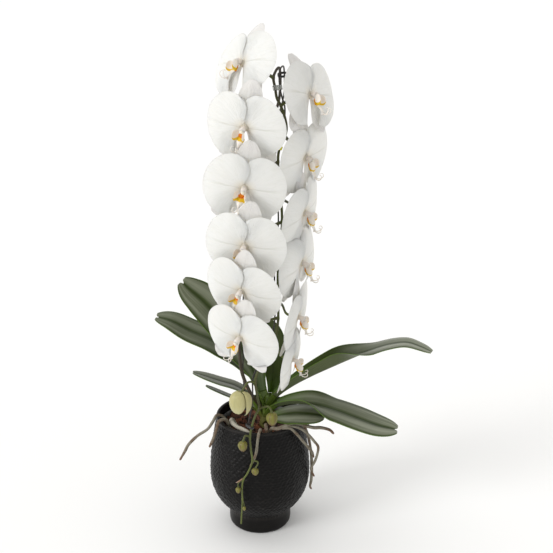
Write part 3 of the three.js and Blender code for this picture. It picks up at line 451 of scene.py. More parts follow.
def turned(profile, segments, shape=None, **marks):
    """A shell turned about Z from a closed half outline of (radius, height), poles included."""
    profile = np.array(profile, float)
    angle = np.linspace(0, 2 * math.pi, segments, endpoint=False)
    r, z = profile[:, 0][:, None], profile[:, 1][:, None]
    raised = 0 * r * angle + (shape(angle[None, :], z, r) if shape is not None else 0)
    r = r + raised
    grid = places(r * np.cos(angle), r * np.sin(angle), z + 0 * angle)
    poles = [i for i in (0, len(profile) - 1) if profile[i, 0] < 1e-6]
    rings = [i for i in range(len(profile)) if i not in poles]
    faces = grid_faces(len(rings), segments, wrap=True)
    corners = grid[rings].reshape(-1, 3)
    for pole in poles:
        corners = np.vstack([corners, [0, 0, profile[pole, 1]]])
        ring = 0 if pole == 0 else (len(rings) - 1) * segments
        tip = len(corners) - 1
        fan = [(tip, ring + (i + 1) % segments, ring + i) for i in range(segments)]
        faces += fan if pole == 0 else [face[::-1] for face in fan]
    values = {name: np.full(len(corners), value) for name, value in marks.items()}
    values["raised"] = np.concatenate([raised[rings].ravel(), np.zeros(len(poles))])
    return Shell(corners, faces, **values)


def ball(centre, radii, rows=12, columns=18, **marks):
    """A closed egg round a centre."""
    tall = np.linspace(-math.pi / 2, math.pi / 2, rows)
    profile = [(0, -1), *((math.cos(a), math.sin(a)) for a in tall[1:-1]), (0, 1)]
    shell = turned(profile, columns, **marks)
    shell.corners *= np.array(radii, float)
    return shell.moved(centre)


def link_object(name, data):
    made = bpy.data.objects.new(name, data)
    bpy.context.scene.collection.objects.link(made)
    return made


def as_piece(name, shells):
    """One plain mesh object made of several shells."""
    names = sorted({mark for shell in shells for mark in shell.marks})
    faces, start = [], 0
    for shell in shells:
        faces += [tuple(i + start for i in face) for face in shell.faces]
        start += len(shell.corners)
    mesh = bpy.data.meshes.new(name)
    mesh.from_pydata((np.concatenate([shell.corners for shell in shells]) * MM).tolist(), [], faces)
    layer = mesh.uv_layers.new(name="sheet")
    loops = np.zeros(len(mesh.loops), int)
    mesh.loops.foreach_get("vertex_index", loops)
    maps = np.concatenate([shell.maps for shell in shells])
    layer.data.foreach_set("uv", maps[loops].astype(np.float32).ravel())
    for mark in names:
        values = np.concatenate([shell.marks.get(mark, np.zeros(len(shell.corners))) for shell in shells])
        mesh.attributes.new(mark, "FLOAT", "POINT").data.foreach_set("value", values.astype(np.float32))
    mesh.shade_smooth()
    mesh.update()
    return link_object(name, mesh)


def finish_piece(piece, material, node):
    """Gives a piece its finish, hangs it under the root body and hides the solid that it stands for."""
    piece.data.materials.clear()
    piece.data.materials.append(material)
    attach(piece, "root")
    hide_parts(node)


# ---- node trees


class Socket:
    """An output of a node that takes part in sums; each sum adds its Math node."""

    def __init__(self, graph, output):
        self.graph = graph
        self.output = output

    def sum(self, operation, *values):
        return self.graph.node("ShaderNodeMath", {"operation": operation}, dict(enumerate(values)))

    def __add__(self, other):
        return self.sum("ADD", self, other)

    def __sub__(self, other):
        return self.sum("SUBTRACT", self, other)

    def __rsub__(self, other):
        return self.sum("SUBTRACT", other, self)

    def __mul__(self, other):
        return self.sum("MULTIPLY", self, other)

    def __abs__(self):
        return self.sum("ABSOLUTE", self)

    __radd__ = __add__
    __rmul__ = __mul__


class Graph:
    """A node tree under construction. A colour written in hex becomes linear numbers on its way in."""

    def __init__(self, tree):
        self.tree = tree

    def node(self, kind, settings=None, inputs=None, output=0):
        made = self.tree.nodes.new(kind)
        for key, value in (settings or {}).items():
            setattr(made, key, value)
        for key, value in (inputs or {}).items():
            if isinstance(value, Socket):
                self.tree.links.new(value.output, made.inputs[key])
            elif isinstance(value, str) and value.startswith("#"):
                made.inputs[key].default_value = linear(value)
            else:
                made.inputs[key].default_value = value
        return Socket(self, made.outputs[output])


class Look(Graph):
    """One finish: a material with its main shader."""

    def __init__(self, name, **fixed):
        self.material = bpy.data.materials.new(name)
        self.material.use_nodes = True
        super().__init__(self.material.node_tree)
        self.shader = self.tree.nodes["Principled BSDF"]
        for socket, value in fixed.items():
            self.shader.inputs[socket.replace("_", " ")].default_value = value

    def sheet(self):
        """The map across and along a blade, as two sockets."""
        place = {0: self.node("ShaderNodeUVMap", {"uv_map": "sheet"})}
        return tuple(self.node("ShaderNodeSeparateXYZ", None, place, axis) for axis in "XY")

    def height(self):
        """Metres above the table."""
        place = self.node("ShaderNodeTexCoord", output="Object")
        return self.node("ShaderNodeSeparateXYZ", None, {0: place}, "Z")

    def mark(self, name):
        return self.node("ShaderNodeAttribute", {"attribute_name": name}, output="Fac")

    def noise(self, scale, detail=2.0, stretch=None, roughness=0.5, place=None):
        """Noise over the piece's own coordinates, or over another place, drawn out where stretch is small."""
        place = place or self.node("ShaderNodeTexCoord", output="Object")
        if stretch:
            place = self.node("ShaderNodeVectorMath", {"operation": "MULTIPLY"}, {0: place, 1: stretch})
        inputs = {"Vector": place, "Scale": scale, "Detail": detail, "Roughness": roughness}
        return self.node("ShaderNodeTexNoise", None, inputs)

    def streaks(self, across, along, detail=2.0, roughness=0.5):
        """Noise drawn out along a blade, by how many streaks lie across it and along it."""
        place = self.node("ShaderNodeUVMap", {"uv_map": "sheet"})
        return self.noise(1.0, detail, (across, along, 1.0), roughness, place)

    def step(self, value, low, high):
        settings = {"interpolation_type": "SMOOTHSTEP"}
        return self.node("ShaderNodeMapRange", settings, {0: value, 1: low, 2: high, 3: 0.0, 4: 1.0})

    def blend(self, share, first, second):
        settings = {"data_type": "RGBA", "blend_type": "MIX"}
        return self.node("ShaderNodeMix", settings, {0: share, 6: first, 7: second}, 2)

    def ramp(self, value, stops):
        made = self.node("ShaderNodeValToRGB", None, {0: value})
        ramp = made.output.node.color_ramp.elements
        for index, (place, colour) in enumerate(stops):
            stop = ramp[index] if index < 2 else ramp.new(place)
            stop.position, stop.color = place, linear(colour)
        return made

    def feed(self, **sockets):
        for name, socket in sockets.items():
            self.tree.links.new(socket.output, self.shader.inputs[name.replace("_", " ")])
        return self.material

    def finished(self, height, depth, **sockets):
        """Feeds the shader, and raises the surface by a height from 0 to 1 times a depth in metres."""
        inputs = {"Height": height, "Distance": depth, "Strength": 1.0}
        return self.feed(Normal=self.node("ShaderNodeBump", None, inputs), **sockets)


class Grower(Graph):
    """A geometry tree with named inputs, which ends in plain faces with a material."""

    def __init__(self, name, **inputs):
        tree = bpy.data.node_groups.new(name, "GeometryNodeTree")
        super().__init__(tree)
        new = tree.interface.new_socket
        new("Geometry", in_out="INPUT", socket_type="NodeSocketGeometry")
        for label, kind in inputs.items():
            new(label, in_out="INPUT", socket_type="NodeSocket" + kind)
        new("Geometry", in_out="OUTPUT", socket_type="NodeSocketGeometry")
        self.given = tree.nodes.new("NodeGroupInput")

    def input(self, label):
        return Socket(self, self.given.outputs[label])

    def mark(self, name):
        return self.node("GeometryNodeInputNamedAttribute", {"data_type": "FLOAT"}, {"Name": name})

    def random(self, low, high, seed):
        """A draw for each instance: a vector where low is one, or else a number."""
        kind = "FunctionNodeRandomValue"
        if isinstance(low, tuple):
            return self.node(kind, {"data_type": "FLOAT_VECTOR"}, {0: low, 1: high, 8: seed})
        return self.node(kind, {"data_type": "FLOAT"}, {2: low, 3: high, 8: seed}, 1)

    def end(self, geometry):
        whole = self.node("GeometryNodeRealizeInstances", None, {0: geometry})
        finish = {"Geometry": whole, "Material": self.input("Finish")}
        whole = self.node("GeometryNodeSetMaterial", None, finish)
        last = self.tree.nodes.new("NodeGroupOutput")
        self.tree.links.new(whole.output, last.inputs[0])
        return self.tree


def grow(piece, tree, **values):
    """Runs a geometry tree on an object and leaves the plain mesh that it makes."""
    modifier = piece.modifiers.new("grow", "NODES")
    modifier.node_group = tree
    for item in tree.interface.items_tree:
        if item.in_out == "INPUT" and item.name in values:
            modifier[item.identifier] = values[item.name]
    seen = bpy.context.evaluated_depsgraph_get()
    mesh = bpy.data.meshes.new_from_object(piece.evaluated_get(seen))
    piece.modifiers.remove(modifier)
    rough, piece.data = piece.data, mesh
    bpy.data.meshes.remove(rough)
    mesh.name = piece.name
    mesh.shade_smooth()
    if not len(mesh.polygons):
        raise RuntimeError(piece.name + ": the geometry tree made no faces")
    return piece


def route_tree():
    """Round bars on polylines: each point carries its own radius."""
    maker = Grower("round bars on routes", Sides="Int", Finish="Material")
    curve = maker.node("GeometryNodeMeshToCurve", None, {"Mesh": maker.input("Geometry")})
    inputs = {"Resolution": maker.input("Sides"), "Radius": 1.0}
    ring = maker.node("GeometryNodeCurvePrimitiveCircle", None, inputs)
    inputs = {"Curve": curve, "Profile Curve": ring, "Scale": maker.mark("radius"), "Fill Caps": True}
    return maker.end(maker.node("GeometryNodeCurveToMesh", None, inputs))


def on_routes(name, lines, sides, material):
    """A piece of round bars; lines are (places, radii, tones) in millimetres."""
    corners = np.concatenate([line[0] for line in lines]) * MM
    ends = np.cumsum([len(line[0]) for line in lines])
    edges = [(i, i + 1) for i in range(len(corners) - 1) if i + 1 not in ends]
    mesh = bpy.data.meshes.new(name)
    mesh.from_pydata(corners.tolist(), edges, [])
    for mark, column, scale in (("radius", 1, MM), ("tone", 2, 1.0)):
        values = np.concatenate([np.broadcast_to(line[column], len(line[0])) for line in lines])
        layer = mesh.attributes.new(mark, "FLOAT", "POINT")
        layer.data.foreach_set("value", (values * scale).astype(np.float32))
    tree = bpy.data.node_groups.get("round bars on routes") or route_tree()
    return grow(link_object(name, mesh), tree, Sides=sides, Finish=material)


# ---- what a user may change


def length_choice(name, description, metres):
    return FloatProperty(name=name, description=description, default=metres, unit="LENGTH")


def colour_choice(name, description, hex_colour):
    default = linear(hex_colour)[:3]
    return FloatVectorProperty(
        name=name, description=description, default=default, subtype="COLOR", size=3, min=0, max=1)


class OrchidSizes(bpy.types.PropertyGroup):
    dimple: length_choice("Dimple", "Width of one hammered dimple of the pot", 0.0074)
    dimple_depth: length_choice("Dimple depth", "Depth of a hammered dimple", 0.0015)
    chip_spacing: length_choice("Chip spacing", "Least distance between two bark chips", 0.0072)
    chip_seed: IntProperty(name="Chip seed", description="Another number lays the bark chips anew", default=7)
    petal_wave: length_choice("Petal wave", "How far a petal's margin waves in and out", 0.0009)
    petal_veins: length_choice("Petal veins", "Height of the veins of a petal", 0.0003)
    leaf_grooves: length_choice("Leaf grooves", "Depth of the fine grooves along a leaf", 0.0002)


class OrchidColours(bpy.types.PropertyGroup):
    # The pot colour is painted shade, laid into the dimple hollows and onto the foot.
    pot: colour_choice("Pot", "Glaze in the hollows of the pot", "#0b0a09")
    nursery: colour_choice("Inner pot", "Plastic of the inner pot", "#5c5d5b")
    bark: colour_choice("Bark", "Lighter bark chips", "#7a4429")
    leaf: colour_choice("Leaf", "Upper side of a leaf", "#2a370a")
    crown: colour_choice("Crown", "Sheaths at the foot of the leaves", "#4a6114")
    spike: colour_choice("Spike", "Green part of the flower spike", "#414717")
    root: colour_choice("Root", "Dry skin of an air root", "#7d7869")
    petal: colour_choice("Petal", "Petals and sepals", "#e4e4df")
    lip: colour_choice("Lip", "Yellow of the lip", "#d6ad12")
    bud: colour_choice("Bud", "Closed buds", "#6f6d29")


def rgba(colour):
    return (*colour, 1.0)


# ---- pot, inner pot and bark


def pot_outline():
    """Closed half outline of the pot, from the middle of its base up outside and down inside."""
    flat, bow = 20, 2 / 2.1  # radius of the bowl's flat underside, and how square its curve is
    width, depth = BELLY_RADIUS - flat, BELLY_HEIGHT - FOOT_HEIGHT
    outside = [(0, 0), (43.5, 0), (44.6, 0.25), (45.3, 0.9), (46.7, 2.2), (47.5, 3.6), (48, 6)]
    outside += [(FOOT_RADIUS, z) for z in (10, *np.linspace(12, FOOT_HEIGHT - 0.4, 7))]
    angles = np.linspace(math.pi / 2, 0, 62)[1:]
    bowl = [(flat + width * math.cos(a) ** bow, BELLY_HEIGHT - depth * math.sin(a) ** bow) for a in angles]
    outside += [(r, z) for r, z in bowl if r > FOOT_RADIUS + 0.8]
    for share in np.linspace(0, 1, 76)[1:]:
        radius = BELLY_RADIUS - (BELLY_RADIUS - RIM_RADIUS) * share ** 1.6
        outside.append((radius, mix(BELLY_HEIGHT, POT_HEIGHT - 2.4, share)))
    around = np.linspace(0.15, 3.0, 12)
    rim = [(64.15 + 2.45 * math.cos(a), POT_HEIGHT - 1.8 + 1.8 * math.sin(a)) for a in around]
    inside = [(r - POT_WALL, z) for r, z in outside if z > 25][::-8]
    return [*outside, *rim, *inside, (43.7, 22.5), (42.9, 14), (41, POT_FLOOR), (0, POT_FLOOR)]


def hammered(sizes):
    """Rows of shallow dimples, each a little off its place, on the body alone."""
    wide, tall = sizes.dimple / MM, sizes.dimple / MM * 0.58
    count, rows = round(2 * math.pi * DIMPLED_RADIUS / wide), 80
    drift = np.random.default_rng(12).uniform(-0.15, 0.15, (rows, count, 2))

    def shape(angle, z, r):
        gone = np.concatenate([[0], np.cumsum(np.hypot(np.diff(r[:, 0]), np.diff(z[:, 0])))])[:, None]
        row = gone / tall
        nearest = np.full((len(gone), angle.shape[1]), 9.0)
        for other in (-1, 0, 1):
            line = (np.round(row) + other).astype(int)
            column = angle / (2 * math.pi) * count + 0.5 * (line % 2)
            for beside in (-1, 0, 1):
                post = (np.round(column) + beside).astype(int)
                shift = drift[line % rows, post % count]
                far = (column - post - shift[..., 0]) ** 2 + (row - line - shift[..., 1]) ** 2
                nearest = np.minimum(nearest, far)
        outside = (r > FOOT_RADIUS + 1.8) * (gone < gone[z[:, 0].argmax()])
        body = smooth(z, 25, 29) * (1 - smooth(z, 179.5, 182)) * outside
        return -sizes.dimple_depth / MM * body * (1 - np.clip(nearest / 0.42, 0, 1))

    return shape


def pot_look(colours):
    look = Look("dark hammered glaze", IOR=1.5, Specular_IOR_Level=0.14)
    cloud = look.noise(38.0, 3)
    grain = look.noise(900.0)
    # Painted shade: the glaze colour is darkened in the dimple hollows and on the foot below 27 mm, as shade
    # would darken them.
    painted_hollow_and_foot_shade = look.step(look.mark("raised"), 0.0, -0.7) + look.step(look.height(), 0.027, 0.022) * 0.7
    rim = look.blend(look.step(cloud, 0.35, 0.75), "#191715", "#211e1c")
    return look.finished(
        grain, 0.00006,
        Base_Color=look.blend(painted_hollow_and_foot_shade, rim, rgba(colours.pot)),
        Roughness=0.38 + 0.16 * (cloud - 0.5) + 0.1 * (grain - 0.5))


def make_pot(sizes, colours):
    shell = turned(pot_outline(), 480, hammered(sizes))
    finish_piece(as_piece("hammered_pot", [shell]), pot_look(colours), "pot")


def nursery_look(colours):
    look = Look("grey plastic, a little see-through", Transmission_Weight=0.12, IOR=1.48)
    streak = look.noise(160.0, 3, (1.0, 1.0, 0.2))
    pale = (*(min(1, c * 1.9) for c in colours.nursery), 1.0)
    return look.finished(
        streak, 0.0001,
        Base_Color=look.blend(look.step(streak, 0.4, 0.7) * 0.5, rgba(colours.nursery), pale),
        Roughness=0.34 + 0.2 * look.noise(700.0))


def make_nursery_pot(colours):
    under = POT_FLOOR + SEAT_GAP
    profile = [(0, under), (34.5, under), (36.2, 12.8), (37, 14)]
    profile += [(mix(37.2, 59.9, share), mix(16, 165.4, share)) for share in np.linspace(0, 1, 24)]
    profile += [(61, 166), (61.4, 167), (61.5, 169.4), (61.2, 170.7), (60.4, 171), (59.4, 170.7)]
    profile.append((58.9, 169.6))
    profile += [(mix(58.7, 36, share), mix(165, 15, share)) for share in np.linspace(0, 1, 12)]
    profile += [(35, 13.7), (0, 13.6)]

    def ribs(angle, z, r):
        """Twelve low ribs up the wall."""
        rib = np.maximum(np.cos(angle * 12), 0) ** 6
        return 0.5 * rib * smooth(z, 18, 30) * (1 - smooth(z, 150, 162)) * (r > 36)

    wall = as_piece("nursery_pot_wall", [turned(profile, 144, ribs)])
    finish_piece(wall, nursery_look(colours), "nursery_pot")


def chips_tree():
    """Lays bark chips on the marked faces, each turned and sized by chance."""
    maker = Grower("bark chips", Spacing="Float", Seed="Int", Finish="Material")
    ground, seed = maker.input("Geometry"), maker.input("Seed")
    inputs = {
        "Mesh": ground, "Selection": maker.mark("top"), "Distance Min": maker.input("Spacing"),
        "Density Max": 60000.0, "Density Factor": 1.0, "Seed": seed,
    }
    points = maker.node("GeometryNodeDistributePointsOnFaces", {"distribute_method": "POISSON"}, inputs)
    block = maker.node("GeometryNodeMeshCube", None, {0: (1.0, 1.0, 1.0), 1: 5, 2: 4, 3: 3})
    turn = maker.random((-0.75, -0.75, 0.0), (0.75, 0.75, 6.283), seed)
    size = maker.random((0.008, 0.005, 0.003), (0.02, 0.011, 0.0065), seed + 3)
    inputs = {"Points": points, "Instance": block, "Rotation": turn, "Scale": size}
    laid = maker.node("GeometryNodeInstanceOnPoints", None, inputs)
    settings = {"data_type": "FLOAT", "domain": "INSTANCE"}
    inputs = {"Geometry": laid, "Name": "tone", "Value": maker.random(0.0, 1.0, seed + 5)}
    laid = maker.node("GeometryNodeStoreNamedAttribute", settings, inputs)
    laid = maker.node("GeometryNodeRealizeInstances", None, {0: laid})
    where = maker.node("GeometryNodeInputPosition")
    rough = maker.node("ShaderNodeTexNoise", None, {"Vector": where, "Scale": 130.0, "Detail": 2.0}, 1)
    centred = maker.node("ShaderNodeVectorMath", {"operation": "SUBTRACT"}, {0: rough, 1: (0.5, 0.5, 0.5)})
    reach = (0.007, 0.007, 0.007)
    nudge = maker.node("ShaderNodeVectorMath", {"operation": "MULTIPLY"}, {0: centred, 1: reach})
    laid = maker.node("GeometryNodeSetPosition", None, {"Geometry": laid, "Offset": nudge})
    join = maker.tree.nodes.new("GeometryNodeJoinGeometry")
    for part in (ground, laid):
        maker.tree.links.new(part.output, join.inputs[0])
    return maker.end(Socket(maker, join.outputs[0]))


def bark_look(colours):
    look = Look("bark chips")
    fibre = look.noise(210.0, 5, (1.0, 3.5, 2.2), 0.62)
    # Painted shade: the chips darken towards black low in the bed, between and under one another.
    deep = look.step(look.height(), 0.1675, 0.162) * 0.9
    stops = [(0.0, "#180e0a"), (1.0, "#a5683f"), (0.3, "#3a2117"), (0.55, "#643a26"), (0.78, "#875335")]
    worn = look.ramp(0.62 * look.mark("tone") + 0.5 * fibre - 0.05, stops)
    chips = look.blend(0.45, worn, look.blend(fibre, rgba(colours.bark), worn))
    return look.finished(
        fibre * 0.8 + look.noise(1300.0) * 0.2, 0.0014,
        Base_Color=look.blend(deep, chips, "#120a07"), Roughness=0.78 + 0.2 * (fibre - 0.5))


def make_bark(sizes, colours):
    top = [(r, BARK_TOP - 0.5 + 1.5 * math.cos(r / 9)) for r in np.linspace(57.2, 0, 24)]
    ground = turned([(0, 14), (35, 14), (57.4, 158), *top], 72, tone=0.0)
    far = np.hypot(*ground.corners[:, :2].T)
    ground.marks["top"] = (ground.corners[:, 2] > BARK_TOP - 2.5) * (far < 52.5) * 1.0
    look = bark_look(colours)
    piece = as_piece("bark_chips", [ground])
    grow(piece, chips_tree(), Spacing=sizes.chip_spacing, Seed=sizes.chip_seed, Finish=look)
    corners = np.zeros(len(piece.data.vertices) * 3, np.float32)
    piece.data.vertices.foreach_get("co", corners)
    corners = corners.reshape(-1, 3)
    far = np.hypot(corners[:, 0], corners[:, 1])
    corners[:, :2] *= np.minimum(1, BARK_RADIUS * MM / np.maximum(far, 1e-6))[:, None]
    piece.data.vertices.foreach_set("co", corners.ravel())
    piece.data.shade_flat()
    finish_piece(piece, look, "bark_bed")

# ---- crown and leaves


def leaf_surface(leaf, start, end):
    """The middle surface of a leaf between two shares of its route."""
    route = Route(leaf["route"])
    root_face, tip_face = (np.array(face, float) for face in leaf["face"])
    narrows = leaf.get("narrows", 0.62)

    def surface(part, t):
        s = mix(start, end, part)
        notch = leaf["notch"] / route.length * hump(t, 0.22) * smooth(s, 0.8, 1)
        share = np.clip(s - notch, 0, 1)
        centre, ahead = route.at(share), route.ahead(share)
        centre = centre + ahead * ((s - np.clip(s, 0, 1)) * route.length)[..., None]
        up = mix(root_face, tip_face, np.clip(s, 0, 1)[..., None])
        up = unit(up - ahead * (up * ahead).sum(axis=-1, keepdims=True))
        side = np.cross(ahead, up)
        fold = np.radians(mix(*leaf["fold"], smooth(s, *leaf.get("unfolds", (0, 0.55)))))
        past = np.clip((s - narrows) / (1.012 - narrows), 0, 1)
        half = leaf["width"] * mix(0.36, 1, smooth(s, 0, 0.55)) * np.sqrt(np.maximum(1 - past ** 2.6, 0.0004))
        rise = np.sqrt(t * t + 0.006) - 0.0775 - 0.16 * t * t * np.cos(fold) / np.maximum(np.sin(fold), 0.15)
        centre = centre + side * (half * t * np.cos(fold))[..., None]
        return centre + up * (half * rise * np.sin(fold))[..., None]

    return surface


def leaf_look(sizes, colours):
    look = Look("leaf, waxy above", Specular_IOR_Level=0.18, IOR=1.45, Coat_Roughness=0.35)
    across, along = look.sheet()
    under, painted_sheen_share = look.step(look.mark("under"), 0.3, 0.7), look.mark("wax")
    side = abs(across * 2.0 - 1.0)
    grooves, wax, fine = look.streaks(34.0, 1.6, 3), look.streaks(7.0, 0.9, 3), look.streaks(150.0, 5.0)
    upper = look.blend(look.step(grooves, 0.3, 0.72) * 0.7, rgba(colours.leaf), "#333f10")
    upper = look.blend(look.step(look.noise(26.0, 3), 0.5, 0.8) * 0.35, upper, "#435026")
    band = look.step(side, 0.03, 0.35) * (1.0 - look.step(side, 0.7, 0.98))
    # Painted sheen: a grey reflection is painted into the upper side's colour, in a band between midrib and
    # margin, as strong as the leaf's sheen mark.
    sheen = painted_sheen_share * band * (0.5 + 0.5 * look.step(wax, 0.36, 0.62))
    upper = look.blend(sheen, upper, "#8b8f7c")
    upper = look.blend(look.step(along, 0.3, 0.0) * 0.6, upper, "#43611a")
    skin = look.blend(under, upper, look.blend(look.step(fine, 0.3, 0.7), "#515b3c", "#646c4f"))
    # Painted shade: the midrib groove is darkened in colour as well as sunk by the bump.
    rib = 1.0 - look.step(side, 0.0, 0.07)
    skin = look.blend(rib * 0.75, skin, "#26330f")
    return look.finished(
        grooves * 0.7 + fine * 0.3 - rib * 1.2, sizes.leaf_grooves,
        Base_Color=look.blend(look.step(side, 0.95, 0.995) * 0.7, skin, "#5d8018"),
        Roughness=0.3 + 0.12 * (fine - 0.5) + 0.12 * wax + 0.1 * under,
        Coat_Weight=painted_sheen_share * 0.35)


def make_leaves(sizes, colours):
    look = leaf_look(sizes, colours)
    for leaf in LEAVES:
        length = Route(leaf["route"]).length
        surface = leaf_surface(leaf, leaf["sheath"] + SEAT_GAP / length, 1.0)
        # Each leaf's mark of painted sheen, a reflection painted into its colour, grows from its foot value
        # to its tip value.
        marks = {"wax": lambda s, t: mix(*leaf["wax"], smooth(s, 0.35, 0.8))}
        shell = sheet(surface, 22, int(length / 3.2) + 12, thin_edged(LEAF_THICKNESS, 0.4), -1, 1.5, marks)
        finish_piece(as_piece(leaf["name"] + "_blade", [shell]), look, leaf["name"])


def crown_look(colours):
    look = Look("green leaf sheaths", Specular_IOR_Level=0.45)
    fibre = look.noise(420.0, 3, (1.0, 1.0, 0.12))
    green = look.blend(look.step(look.noise(60.0, 3), 0.35, 0.7), rgba(colours.crown), "#37490f")
    green = look.blend(look.step(look.height(), 0.196, 0.178) * 0.8, green, "#5b4a2c")
    return look.finished(
        fibre, 0.00025,
        Base_Color=look.blend(fibre * 0.35, green, "#7d9440"), Roughness=0.42 + 0.2 * (fibre - 0.5))


def make_crown(colours):
    share = np.linspace(0, 1, 24)
    shells = [bar(Route(STEM).at(share), mix(10, 5, share) * np.where(share > 0.97, 0.7, 1), sides=24)]
    for leaf in LEAVES:
        surface = leaf_surface(leaf, 0.0, leaf["sheath"])
        shells.append(sheet(surface, 14, 14, thin_edged(SHEATH_THICKNESS), upper=-1))
    finish_piece(as_piece("crown_sheaths", shells), crown_look(colours), "crown")


# ---- roots, spike, wire, clips, bracts


def uneven(share, seed, length):
    """A slow, repeatable swell and shrink along a root."""
    run = share * length
    return sum(np.sin(run / wave + seed * (1.7 + wave)) for wave in (3.1, 7.3, 17.0)) / 3


def root_look(colours):
    look = Look("dry air root")
    tone = look.mark("tone")
    patch, skin = look.noise(55.0, 4, roughness=0.6), look.noise(620.0, 3)
    dry = look.blend(look.step(patch, 0.38, 0.66), rgba(colours.root), "#5a4430")
    dry = look.blend(look.step(skin, 0.5, 0.8) * 0.5, dry, "#aaa598")
    dry = look.blend(look.step(tone, 0.0, -1.0), dry, "#b9b4a6")
    return look.finished(
        skin * 0.5 + patch * 0.5, 0.0007,
        Base_Color=look.blend(tone, dry, "#6e3f28"), Roughness=0.82 + 0.2 * (skin - 0.5))


def make_roots(colours):
    look = root_look(colours)
    for seed, (name, strands) in enumerate(ROOTS.items()):
        lines = []
        for strand, (radius, points) in enumerate(strands):
            route = Route(points)
            share = shares(route.length, 1.6, radius)
            full = radius * (1 - 0.3 * smooth(share, 0.85, 1)) * rounded(share, route.length, radius)
            full = full * (1 + 0.09 * uneven(share, seed + strand * 3.3, route.length))
            tone = np.minimum(smooth(share, 0.9, 1) * 0.55 + ROOT_TONES.get(name, 0.0), 0.9)
            lines.append((route.at(share), full, tone))
        finish_piece(on_routes(name + "_skin", lines, 14, look), look, name)


def bloom_turn(bloom):
    """The turned axes of a bloom, whose own front is -Y and whose own top is +Z."""
    tilt, lean = math.radians(bloom["tilt"]), math.radians(bloom["lean"])
    about_x = [[1, 0, 0], [0, math.cos(tilt), -math.sin(tilt)], [0, math.sin(tilt), math.cos(tilt)]]
    about_y = [[math.cos(lean), 0, math.sin(lean)], [0, 1, 0], [-math.sin(lean), 0, math.cos(lean)]]
    return about_z(bloom["turn"]) @ np.array(about_x) @ np.array(about_y)


def bloom_stalk(bloom):
    turn, at, node = bloom_turn(bloom), np.array(bloom["at"], float), np.array(bloom["node"], float)
    end = at + turn @ np.array([0, HUB_DEPTH - 0.8, 0])
    before = at + turn @ np.array([0, 15.0, 1.0])
    route = Route([node, (node + before) / 2 + [0, 0, 3], before, end])
    share = np.linspace(0, 1, int(route.length / 1.5) + 4)
    radii = STALK_RADIUS * (1.6 - 1.9 * share + 1.7 * share ** 2)
    return route.at(share), radii, mix(0.78, 1.25, smooth(share, 0.2, 1))


def bud_stalk(bud):
    top = np.array(bud["at"], float) + [0, 0, bud["size"][2] * 0.88]
    route = Route([bud["node"], bud["knee"], top])
    share = np.linspace(0, 1, int(route.length / 1.2) + 4)
    thin = min(STALK_RADIUS, bud["size"][0] * 0.22)
    radii = thin * (1 + 0.35 * smooth(share, 0.8, 1) + 0.4 * (1 - smooth(share, 0, 0.15)))
    return route.at(share), radii, 0.95 + 0 * share


def spike_look(colours):
    look = Look("flower spike, satin", Specular_IOR_Level=0.4)
    tone = look.mark("tone")
    flush, speck = look.noise(90.0, 3, (1.0, 1.0, 0.35)), look.noise(1500.0)
    ripe = look.blend(look.step(flush, 0.4, 0.7) * 0.7, rgba(colours.spike), "#3a3219")
    skin = look.blend(look.step(tone, 0.0, 0.75), "#33291d", ripe)
    skin = look.blend(look.step(tone, 0.85, 1.2), skin, "#5f6a2b")
    return look.finished(
        speck * 0.4 + flush * 0.6, 0.0002,
        Base_Color=look.blend(look.step(speck, 0.55, 0.75) * 0.3, skin, "#6f6b42"),
        Roughness=0.48 + 0.2 * (flush - 0.5))


def make_spike(colours):
    route = Route(SPIKE)
    foot, middle, tip = SPIKE_RADIUS
    share = np.unique([*np.arange(0, 1, 1.6 / route.length), *shares(route.length, 40, tip)[-6:]])
    low, high = mix(foot, middle, smooth(share, 0.2, 0.45)), mix(middle, tip, smooth(share, 0.8, 1))
    full = np.where(share < 0.45, low, high)
    for carried in (*BLOOMS, *BUDS):
        near = (share - route.nearest(carried["node"])) * route.length
        full = full + 0.45 * hump(near, 2.2)
    full = full * rounded(share, route.length, tip)
    tone = 0.1 + 0.75 * smooth(share, 0.42, 0.55) + 0.2 * smooth(share, 0.78, 0.95)
    lines = [(route.at(share), full, tone), *map(bloom_stalk, BLOOMS), *map(bud_stalk, BUDS)]
    look = spike_look(colours)
    finish_piece(on_routes("spike_and_stalks", lines, 14, look), look, "flower_spike")


def wire_look():
    look = Look("dark coated wire", Metallic=0.25, Specular_IOR_Level=0.5)
    scuff = look.noise(260.0, 4)
    return look.finished(
        scuff, 0.00008,
        Base_Color=look.blend(look.step(scuff, 0.45, 0.8) * 0.6, "#241f1d", "#4d4038"),
        Roughness=0.42 + 0.25 * (scuff - 0.5))


def make_wire():
    route = Route(WIRE)
    share = shares(route.length, 2.5, 1.0)
    look = wire_look()
    line = (route.at(share), WIRE_RADIUS * rounded(share, route.length, 1.0), 0 * share)
    finish_piece(on_routes("wire_coat", [line], 12, look), look, "support_wire")


